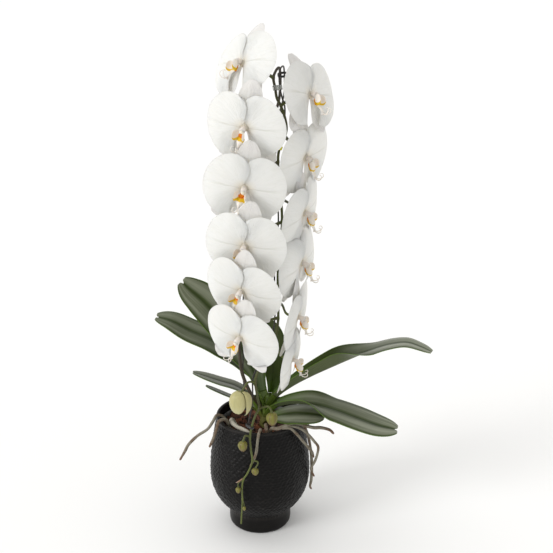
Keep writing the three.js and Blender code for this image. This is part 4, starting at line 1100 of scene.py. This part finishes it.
def collar(clip, spike, wire):
    """An oval band round the spike and its wire, with softened edges."""
    share = spike.nearest(clip["at"])
    a, b = spike.at(share), wire.at(wire.nearest(clip["at"]))
    along = spike.ahead(share)
    y = unit(np.cross(along, unit(b - a)))
    apart, inner = np.linalg.norm(b - a), SPIKE_RADIUS[1] + CLIP_GAP
    tall, wall = clip["height"] / 2, clip["wall"]
    soft = min(0.3, wall * 0.3)
    ring = [(0, -tall + soft), (soft, -tall), (wall - soft, -tall), (wall, -tall + soft)]
    ring += [(wall, tall - soft), (wall - soft, tall), (soft, tall), (0, tall - soft)]
    corners = []
    for start, off in ((-0.5, apart / 2), (0.5, -apart / 2)):
        for angle in np.linspace(start, start + 1, 17) * math.pi:
            x, z = math.cos(angle), math.sin(angle)
            corners += [[off + (inner + out) * x, (inner + out) * z, up] for out, up in ring]
    faces = grid_faces(34, len(ring), wrap=True)
    last = 33 * len(ring)
    for k in range(len(ring)):
        after = (k + 1) % len(ring)
        faces.append((last + k, last + after, after, k))
    return Shell(corners, faces).moved((a + b) / 2, np.stack([np.cross(y, along), y, along], axis=1))


def clip_look(name, colour, worn, **fixed):
    look = Look(name, **fixed)
    cloud = look.noise(300.0, 3)
    return look.finished(
        cloud, 0.00008,
        Base_Color=look.blend(look.step(cloud, 0.4, 0.75) * 0.5, colour, worn),
        Roughness=fixed["Roughness"] + 0.2 * (cloud - 0.5))


def make_clips():
    looks = {
        "dark": clip_look("dark clip", "#1c1c1c", "#3a3733", Roughness=0.4),
        "clear": clip_look(
            "clear ring", "#e4e6e4", "#c9cdc8", Roughness=0.15, Transmission_Weight=0.75, IOR=1.46),
        "yellow": clip_look("yellow band", "#e2dc2c", "#cfc42a", Roughness=0.38),
    }
    spike, wire = Route(SPIKE), Route(WIRE)
    for clip in CLIPS:
        band = as_piece(clip["name"] + "_band", [collar(clip, spike, wire)])
        finish_piece(band, looks[clip["look"]], clip["name"])


def bract_look():
    look = Look("dry bract")
    _, along = look.sheet()
    fibre = look.streaks(26.0, 2.0, 3)
    tan = look.blend(fibre, "#8a654a", "#b5957c")
    return look.finished(
        fibre, 0.0003,
        Base_Color=look.blend(look.step(along, 0.6, 1.0), tan, "#b09a8e"), Roughness=0.7 + 0.2 * fibre)


def make_bracts():
    look = bract_look()
    for bract in BRACTS:
        root, ahead, side = (np.array(bract[key], float) for key in ("root", "ahead", "side"))

        def surface(s, t):
            width = bract["half"] * np.sqrt(np.maximum(1 - (2 * s - 1) ** 2 * 0.97, 0.02))
            curl = 0.5 * t * t + 0.8 * np.sin(s * 2.6)
            outline = ahead * (bract["length"] * s)[..., None] + side * (width * t)[..., None]
            return root + outline + unit(np.cross(ahead, side)) * curl[..., None]

        shell = sheet(surface, 8, 14, thin_edged(0.7, 0.4))
        finish_piece(as_piece(bract["name"] + "_scale", [shell]), look, bract["name"])


# ---- blooms


def petal_surface(side, bloom, wave, seed):
    """One broad petal, spread as a fan from the hub; side is -1 for the left petal and 1 for the right.

    The left petal reaches a little past the middle, over the right one, as the top of a moth orchid does.
    """
    over, before = (16, 0.9) if side < 0 else (6, -0.2)
    swept, tops = (math.tan(math.radians(bloom.get(key, 0))) for key in ("swept", "tops"))

    def surface(s, t):
        fan = np.sin(t * math.pi / 2)
        rise = mix(77, 84, s) + over * np.sin(math.pi * np.clip(s, 0, 1)) ** 0.7  # degrees above level
        fall = mix(45, 75, s)  # degrees below level
        angle = np.radians(3 + np.abs(fan) * np.where(fan > 0, rise, -fall))
        rounding = np.where(fan > 0, 17 * fan ** 4, 12 * fan ** 4)
        trim = bloom.get("trim", 0) * smooth(-t, 0.05, 0.5) if side > 0 else 0
        reach = 3 + (PETAL_REACH - rounding - trim - 3) * s
        outward, upward = reach * np.cos(angle), reach * np.sin(angle)
        back = (swept * outward + tops * np.maximum(0, upward)) * s
        back = back + 1.6 * hump(t, 0.11) * s * (1 - 0.5 * s)
        back = back - 4.5 * np.sin(math.pi * np.minimum(1, s) * 0.85)
        ripple = np.sin(5.1 * t + seed) + 0.6 * np.sin(9.7 * t + 2.3 * seed)
        back = back + wave * np.clip(s, 0, 1.1) ** 4 * ripple
        return places(side * outward, back - before * smooth(t, 0.45, 0.9) * smooth(s, 0.05, 0.4), upward)

    return surface


def sepal_surface(direction, length, half_width, back, wave, seed):
    """One narrow sepal along a direction given in degrees from straight up."""
    angle = math.radians(direction)
    ahead = np.array([math.sin(angle), 0, math.cos(angle)])
    side = np.array([math.cos(angle), 0, -math.sin(angle)])
    reach = math.sqrt(length ** 2 - back ** 2)

    def surface(s, t):
        past = np.clip((s - 0.48) / 0.535, 0, 1)
        half = mix(2.4, half_width, smooth(s, 0, 0.6)) * np.maximum(1 - past ** 1.95, 0.012) ** 0.57
        point = ahead * (1 + (reach - 1) * s)[..., None] + side * (half * t)[..., None]
        point[..., 1] += SEPAL_LAYER + back * s * s + 1.3 * t * t * np.sin(math.pi * np.minimum(1, s))
        point[..., 1] += wave * np.clip(s, 0, 1.1) ** 2 * t * np.sin(6 * s + seed)
        point[..., 1] -= 0.7 * hump(t, 0.18) * s * (1 - s)
        return point

    return surface


def column_shells():
    """The stub at the heart of a bloom, with the cap at its tip."""
    route = Route([(0, 1, 0), (0, -5.5, 0.4), (0, -11.6, -2.2)])
    share = shares(route.length, 0.9, 2.6)
    full = (3.0 + 1.2 * smooth(share, 0.3, 0.8)) * rounded(share, route.length, 2.6)
    return [
        bar(route.at(share), full, sides=20, column=1.0),
        ball((0, -11.5, -1.7), (3.1, 2.6, 2.7), rows=14, columns=18, column=1.0, cap=1.0),
        ball((0, 0.6, 0), (5.2, 3.6, 5.2), rows=14, columns=24, heart=1.0),
    ]


def petal_look(sizes, colours):
    look = Look("white petal", Subsurface_Weight=0.55, Subsurface_Radius=(0.009, 0.0083, 0.0072),
                Subsurface_Scale=1.0, Specular_IOR_Level=0.3)
    across, along = look.sheet()
    veins, fine = look.streaks(30.0, 1.5, 3, 0.55), look.streaks(110.0, 7.0)
    column = look.mark("column")
    line = 1.0 - look.step(abs(veins - 0.5), 0.0, 0.05)
    white = look.blend(look.noise(45.0) * 0.5, rgba(colours.petal), "#dcdad2")
    white = look.blend(line * 0.1, white, "#c6c9b8")
    # Painted shade: the crease along the middle of each petal and sepal is darkened towards its root, as well
    # as sunk by the bump.
    crease = (1.0 - look.step(abs(across * 2.0 - 1.0), 0.0, 0.035)) * (1.0 - column)
    white = look.blend(crease * 0.4 * look.step(along, 1.0, 0.45), white, "#bdbbae")
    # Sepals turn pink-grey towards their tips: partly their own pink tint, partly painted shade.
    white = look.blend(look.mark("sepal") * 0.55, white, "#dcd5d1")
    white = look.blend(look.mark("heart") * 0.75, white, look.blend(fine, "#e2d5b6", "#dac7a4"))
    stub = look.blend(look.step(fine, 0.3, 0.75), "#e2dbd3", "#c9bcb2")
    stub = look.blend(look.mark("cap") * 0.8, stub, "#e6dfc6")
    return look.finished(
        line * 0.5 + fine * 0.5 - crease * 1.5, sizes.petal_veins,
        Base_Color=look.blend(column, white, stub), Roughness=0.52 + 0.14 * (fine - 0.5))


def bloom_shells(bloom, sizes, seed):
    wave = sizes.petal_wave / MM
    petal_marks = {"heart": lambda s, t: np.clip(1 - s / 0.3, 0, 1) ** 1.6}
    # The sepal mark grows towards the tips, where the pink-grey tint, partly painted shade, is laid.
    sepal_marks = dict(petal_marks, sepal=lambda s, t: smooth(s, 0.3, 0.9))
    thick = thin_edged(PETAL_THICKNESS, 0.3)
    shells = [
        sheet(petal_surface(side, bloom, wave, seed + side), 44, 28, thick, side, 1.3, petal_marks)
        for side in (-1, 1)
    ]
    side_sepal = (*SIDE_SEPAL, bloom.get("side_back", SIDE_SEPAL_BACK))
    arms = (
        (bloom["crest"], *DORSAL_SEPAL, bloom["back"]),
        (-SIDE_SEPAL_TURN, *side_sepal),
        (SIDE_SEPAL_TURN, *side_sepal),
    )
    for number, arm in enumerate(arms):
        surface = sepal_surface(*arm, wave * 0.8, seed * 1.3 + number)
        shells.append(sheet(surface, 20, 26, thick, -1, 1.5, sepal_marks))
    return shells + column_shells()


def make_blooms(sizes, colours):
    look = petal_look(sizes, colours)
    for seed, bloom in enumerate(BLOOMS):
        turn = bloom_turn(bloom) * bloom.get("size", 1)
        shells = [shell.moved(bloom["at"], turn) for shell in bloom_shells(bloom, sizes, seed * 2.1)]
        finish_piece(as_piece("petals_" + bloom["name"], shells), look, "bloom_" + bloom["name"])


def lip_look(colours):
    look = Look("yellow and orange lip", Subsurface_Weight=0.3, Subsurface_Radius=(0.005, 0.004, 0.003),
                Subsurface_Scale=1.0, Specular_IOR_Level=0.4)
    mottle, wash = look.noise(900.0, 3), look.noise(260.0)
    pale = look.blend(wash, "#ece6de", "#d8cfc4")
    warm = look.step(look.mark("warm") + 0.35 * (wash - 0.5), 0.3, 0.75)
    red = look.step(look.mark("red") + 0.5 * (mottle - 0.5), 0.35, 0.7)
    fire = look.blend(look.step(mottle, 0.4, 0.62), "#f09016", "#d8480a")
    return look.finished(
        mottle * 0.5 + wash * 0.5, 0.00015,
        Base_Color=look.blend(red, look.blend(warm, pale, rgba(colours.lip)), fire),
        Roughness=0.45 + 0.2 * (mottle - 0.5))


def lip_wing(side):
    """A side lobe, which stands up like a wing."""

    def surface(s, t):
        round_tip = np.sqrt(np.maximum(1 - np.clip((s - 0.6) / 0.42, 0, 1) ** 2.4, 0.02))
        half = mix(3, 7.0, smooth(s, 0, 0.5)) * round_tip
        bow = 1.8 * (1 - t * t) * np.sin(math.pi * np.clip(s, 0, 1))
        out = side * (2.0 + 8.0 * s - 2.0 * s * s + bow)
        return places(out, LIP_ROOT - 1.6 - 11.0 * np.maximum(s, 0) ** 1.1, -7 - 1.2 * s + t * half)

    marks = {
        "warm": lambda s, t: smooth(-t, 0.5, 0.72) * smooth(s, 0.05, 0.2),
        "red": lambda s, t: 0.9 * (1 - smooth(s, 0.08, 0.34)) * smooth(-t, -0.5, 0.3),
    }
    return sheet(surface, 18, 18, thin_edged(0.8), side, 1.3, marks)


def lip_forward(s):
    return LIP_ROOT - 2.2 - 9.0 * np.sin(s * 1.8)


def lip_tongue():
    """The middle lobe, which points down."""

    def surface(s, t):
        half = mix(2.4, 5.8, smooth(s, 0, 0.24)) * (1 - 0.78 * smooth(s, 0.26, 0.8))
        return places(half * t, lip_forward(s) + 2.2 * t * t - 0.5 * hump(t, 0.2), -LIP_FOOT - LIP_DROP * s)

    def warm(s, t):
        margin = 0.4 * smooth(np.abs(t), 0.7, 0.95) * (s < 0.45)
        return np.clip(1 - smooth(s, 0.26, 0.4) + margin, 0, 1)

    marks = {"warm": warm, "red": lambda s, t: (1 - smooth(s, 0.05, 0.26)) * (0.95 - 0.6 * np.abs(t))}
    return sheet(surface, 16, 24, thin_edged(0.9, 0.4), 1, 1.0, marks)


def lip_thread(side):
    """One of the two curled threads at the tip of the middle lobe."""
    y, z = float(lip_forward(1)), -LIP_FOOT - LIP_DROP
    points = [(0.4, 0, 3), (1.6, -2.4, 0.4), (3.2, -6.6, 0.8), (4.4, -9.6, 4.6), (3.6, -8.4, 8.6)]
    points.append((2.2, -5.6, 8.4))
    route = Route([(side * out, y + ahead, z + up) for out, ahead, up in points])
    share = shares(route.length, 0.8, 0.5)
    full = mix(0.8, 0.4, share) * rounded(share, route.length, 0.5)
    return bar(route.at(share), full, sides=8, warm=0.2)


def lip_shells():
    callus = {"rows": 12, "columns": 16, "warm": 1.0}
    shells = [lip_wing(-1), lip_wing(1), lip_tongue(), lip_thread(-1), lip_thread(1)]
    for side in (-1, 1):
        shells.append(ball((side * 1.15, LIP_ROOT - 2.1, -7.6), (1.5, 2.3, 3.2), red=0.62, **callus))
    return [*shells, ball((0, LIP_ROOT - 1.6, -9.8), (1.9, 1.9, 4.4), red=0.9, **callus)]


def make_lips(colours):
    look = lip_look(colours)
    for bloom in BLOOMS:
        turn = bloom_turn(bloom) @ about_z(LIP_NOD if bloom["turn"] > 0 else -LIP_NOD)
        shells = [shell.moved(bloom["at"], turn) for shell in lip_shells()]
        finish_piece(as_piece("lobes_" + bloom["name"], shells), look, "lip_" + bloom["name"])


# ---- buds


def bud_look(name, main, streak, tip, depth):
    look = Look(name, Subsurface_Weight=0.08, Subsurface_Radius=(0.003, 0.003, 0.001), Specular_IOR_Level=0.4)
    lines, blush = look.noise(620.0, 3, (1.0, 1.0, 0.12)), look.noise(130.0)
    skin = look.blend(look.step(lines, 0.5, 0.75) * depth, main, streak)
    skin = look.blend(look.step(look.mark("drop") + 0.4 * (blush - 0.5), 0.45, 0.95) * 0.8, skin, tip)
    return look.finished(
        lines, 0.0002,
        Base_Color=look.blend(look.mark("seam") * (depth * 1.3), skin, streak),
        Roughness=0.46 + 0.2 * (blush - 0.5))


def bud_shell(size):
    """An egg with its blunt end up and furrows where its sepals meet."""
    wide, deep, tall = size
    lift = np.linspace(-math.pi / 2, math.pi / 2, 26)
    shell = turned([(0, -1), *((math.cos(a) ** 0.86, math.sin(a)) for a in lift[1:-1]), (0, 1)], 48)
    x, y, z = shell.corners.T
    angle = np.arctan2(y, x)
    from_seam = (angle + math.pi / 3) % (2 * math.pi / 3) - math.pi / 3
    seam, keel = hump(from_seam, 0.1), hump(np.abs(from_seam) - math.pi / 3, 0.14)
    relief = (0.05 * keel - 0.06 * seam) * (1 - np.abs(z) ** 6)
    swell = (0.94 + 0.2 * z) * (1 - 0.05 * np.cos(3 * angle) + relief)
    shell.corners = places(x * wide * swell, y * deep * swell, z * tall * 0.96)
    shell.marks = {"drop": (1 - z) / 2, "seam": seam + 0.7 * keel}
    return shell


def loose_sepal(size, direction, reach, full, long, shift):
    """One sepal of an opening bud, from its top round its side to its tip; full and long scale its bow."""
    wide, deep, tall = size

    def surface(s, t):
        height = math.pi * (0.02 + 0.9 * s)
        half = np.radians(reach) * np.sqrt(np.maximum(1 - np.clip((s - 0.42) / 0.58, 0, 1) ** 2, 0.006))
        angle = math.radians(direction) + half * t
        out = np.sin(height) ** 0.8 * (1 + 0.12 * np.cos(height)) * full * (1 - 0.05 * (1 - t * t) * s)
        down = np.cos(height) * np.where(s > 0.5, long, 1)
        return places(shift + np.cos(angle) * out * wide, np.sin(angle) * out * deep, down * tall * 0.95)

    marks = {"drop": lambda s, t: s, "seam": lambda s, t: 0.5 * hump(t, 0.07)}
    return sheet(surface, 26, 34, thin_edged(1.0, 0.3), -1, 1.2, marks)


def opening_bud(size):
    """A smaller closed core with four sepals that come away from it."""
    core = bud_shell([side * share for side, share in zip(size, (0.7, 0.8, 0.8))])
    sepals = (
        (242, 70, 0.92, 0.88, -3.2), (155, 60, 0.86, 0.84, -3.2),
        (80, 64, 0.82, 0.8, -3), (338, 40, 0.98, 1.06, 0),
    )
    return [core.moved((-3, 0, 2)), *(loose_sepal(size, *sepal) for sepal in sepals)]


def make_buds(colours):
    closed_look = bud_look("closed bud", rgba(colours.bud), "#5e4530", "#6d573d", 0.6)
    open_look = bud_look("opening bud", "#aea876", "#827d55", "#bdb98e", 0.3)
    for bud in BUDS:
        opens = bud["name"] == "bud_1"
        shells = opening_bud(bud["size"]) if opens else [bud_shell(bud["size"])]
        piece = as_piece(bud["name"] + "_sepals", [shell.moved(bud["at"]) for shell in shells])
        finish_piece(piece, open_look if opens else closed_look, bud["name"])


# ---- stage

VIEW_PLACE = (0.026, -1.314, 0.860)  # metres
VIEW_DOWN = 19  # degrees below level
VIEW_LENS = 61.84  # millimetres
FLOOR_REACH = 30  # metres


def soft_light(name, at, spread, power):
    """A far, soft light that shines from a place towards the plant, with its spread in degrees."""
    lamp = bpy.data.lights.new(name, "SUN")
    lamp.angle, lamp.energy = math.radians(spread), power
    holder = link_object(name, lamp)
    holder.location = at
    x, y, z = np.array([0.03, -0.05, 0.38]) - np.array(at)
    holder.rotation_euler = (math.pi / 2 + math.atan2(z, math.hypot(x, y)), 0, math.atan2(y, x) - math.pi / 2)


def make_camera():
    """The view of the photograph: from a metre and a third in front, looking a little down."""
    lens = bpy.data.cameras.new("view")
    lens.lens, lens.sensor_width, lens.clip_end = VIEW_LENS, 36, 200
    camera = link_object("view", lens)
    camera.location = VIEW_PLACE
    camera.rotation_euler = (math.radians(90 - VIEW_DOWN), 0, 0)
    bpy.context.scene.camera = camera


def make_floor():
    look = Look("pale floor", Roughness=0.9)
    mesh = bpy.data.meshes.new("floor")
    corners = [(x * FLOOR_REACH, y * FLOOR_REACH, 0) for x, y in ((-1, -1), (1, -1), (1, 1), (-1, 1))]
    mesh.from_pydata(corners, [], [(0, 1, 2, 3)])
    mesh.materials.append(look.feed(Base_Color=look.blend(look.noise(3.0) * 0.3, "#f7f7f6", "#f1f1f0")))
    link_object("floor", mesh)


def make_stage():
    make_camera()
    make_floor()
    soft_light("key", (-2.9, -1.9, 1.9), 24, 1.5)
    soft_light("top", (-0.4, 0.6, 3.0), 50, 0.5)
    world = bpy.data.worlds.new("soft studio")
    world.use_nodes = True
    glow = world.node_tree.nodes["Background"].inputs
    glow["Color"].default_value, glow["Strength"].default_value = (1, 0.992, 0.98, 1), 0.78
    bpy.context.scene.world = world
    bpy.context.scene.view_settings.view_transform = "Standard"


# ---- operators, panel and running order


def given(context):
    """The sizes and colours that a user may change."""
    return context.scene.orchid_sizes, context.scene.orchid_colours


class MakeStage(bpy.types.Operator):
    """Camera, floor and soft lights"""

    bl_idname = "orchid.stage"
    bl_label = "Stage"

    def execute(self, context):
        make_stage()
        return {"FINISHED"}


class MakePot(bpy.types.Operator):
    """Dark footed pot with hammered dimples"""

    bl_idname = "orchid.pot"
    bl_label = "Pot"

    def execute(self, context):
        make_pot(*given(context))
        return {"FINISHED"}


class MakeNurseryPot(bpy.types.Operator):
    """Thin plastic pot inside"""

    bl_idname = "orchid.nursery_pot"
    bl_label = "Inner pot"

    def execute(self, context):
        make_nursery_pot(context.scene.orchid_colours)
        return {"FINISHED"}


class MakeBark(bpy.types.Operator):
    """Bark chips that fill the inner pot"""

    bl_idname = "orchid.bark"
    bl_label = "Bark"

    def execute(self, context):
        make_bark(*given(context))
        return {"FINISHED"}


class MakeCrown(bpy.types.Operator):
    """Stem and leaf sheaths"""

    bl_idname = "orchid.crown"
    bl_label = "Crown"

    def execute(self, context):
        make_crown(context.scene.orchid_colours)
        return {"FINISHED"}


class MakeLeaves(bpy.types.Operator):
    """Eight strap leaves"""

    bl_idname = "orchid.leaves"
    bl_label = "Leaves"

    def execute(self, context):
        make_leaves(*given(context))
        return {"FINISHED"}


class MakeRoots(bpy.types.Operator):
    """Air roots over the rim and across the bark"""

    bl_idname = "orchid.roots"
    bl_label = "Roots"

    def execute(self, context):
        make_roots(context.scene.orchid_colours)
        return {"FINISHED"}


class MakeSpike(bpy.types.Operator):
    """Spike with a stalk to each bloom and bud"""

    bl_idname = "orchid.spike"
    bl_label = "Flower spike"

    def execute(self, context):
        make_spike(context.scene.orchid_colours)
        return {"FINISHED"}


class MakeWire(bpy.types.Operator):
    """Wire that the spike is trained along"""

    bl_idname = "orchid.wire"
    bl_label = "Support wire"

    def execute(self, context):
        make_wire()
        return {"FINISHED"}


class MakeClips(bpy.types.Operator):
    """Clips and bands that hold the spike"""

    bl_idname = "orchid.clips"
    bl_label = "Clips"

    def execute(self, context):
        make_clips()
        return {"FINISHED"}


class MakeBracts(bpy.types.Operator):
    """Dry scales on the spike"""

    bl_idname = "orchid.bracts"
    bl_label = "Bracts"

    def execute(self, context):
        make_bracts()
        return {"FINISHED"}


class MakeBlooms(bpy.types.Operator):
    """Petals, sepals and column of each bloom"""

    bl_idname = "orchid.blooms"
    bl_label = "Blooms"

    def execute(self, context):
        make_blooms(*given(context))
        return {"FINISHED"}


class MakeLips(bpy.types.Operator):
    """Lip of each bloom"""

    bl_idname = "orchid.lips"
    bl_label = "Lips"

    def execute(self, context):
        make_lips(context.scene.orchid_colours)
        return {"FINISHED"}


class MakeBuds(bpy.types.Operator):
    """Six buds on the hanging end"""

    bl_idname = "orchid.buds"
    bl_label = "Buds"

    def execute(self, context):
        make_buds(context.scene.orchid_colours)
        return {"FINISHED"}


MAKERS = (
    MakeStage, MakePot, MakeNurseryPot, MakeBark, MakeCrown, MakeLeaves, MakeRoots, MakeSpike,
    MakeWire, MakeClips, MakeBracts, MakeBlooms, MakeLips, MakeBuds,
)


class OrchidPanel(bpy.types.Panel):
    """Lists the pieces of the orchid with the sizes and colours that may change"""

    bl_idname = "VIEW3D_PT_orchid"
    bl_label = "Potted moth orchid"
    bl_space_type = "VIEW_3D"
    bl_region_type = "UI"
    bl_category = "Orchid"

    def draw(self, context):
        for group in given(context):
            box = self.layout.box()
            for key in group.__annotations__:
                box.prop(group, key)
        for maker in MAKERS:
            self.layout.operator(maker.bl_idname)


CLASSES = (OrchidSizes, OrchidColours, *MAKERS, OrchidPanel)


def register():
    for kind in CLASSES:
        bpy.utils.register_class(kind)
    bpy.types.Scene.orchid_sizes = PointerProperty(type=OrchidSizes)
    bpy.types.Scene.orchid_colours = PointerProperty(type=OrchidColours)


def unregister():
    del bpy.types.Scene.orchid_colours
    del bpy.types.Scene.orchid_sizes
    for kind in reversed(CLASSES):
        bpy.utils.unregister_class(kind)


def main():
    register()
    for maker in MAKERS:
        group, name = maker.bl_idname.split(".")
        if getattr(getattr(bpy.ops, group), name)() != {"FINISHED"}:
            raise RuntimeError(maker.bl_label + " was not made")
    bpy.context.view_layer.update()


if __name__ == "__main__":
    main()
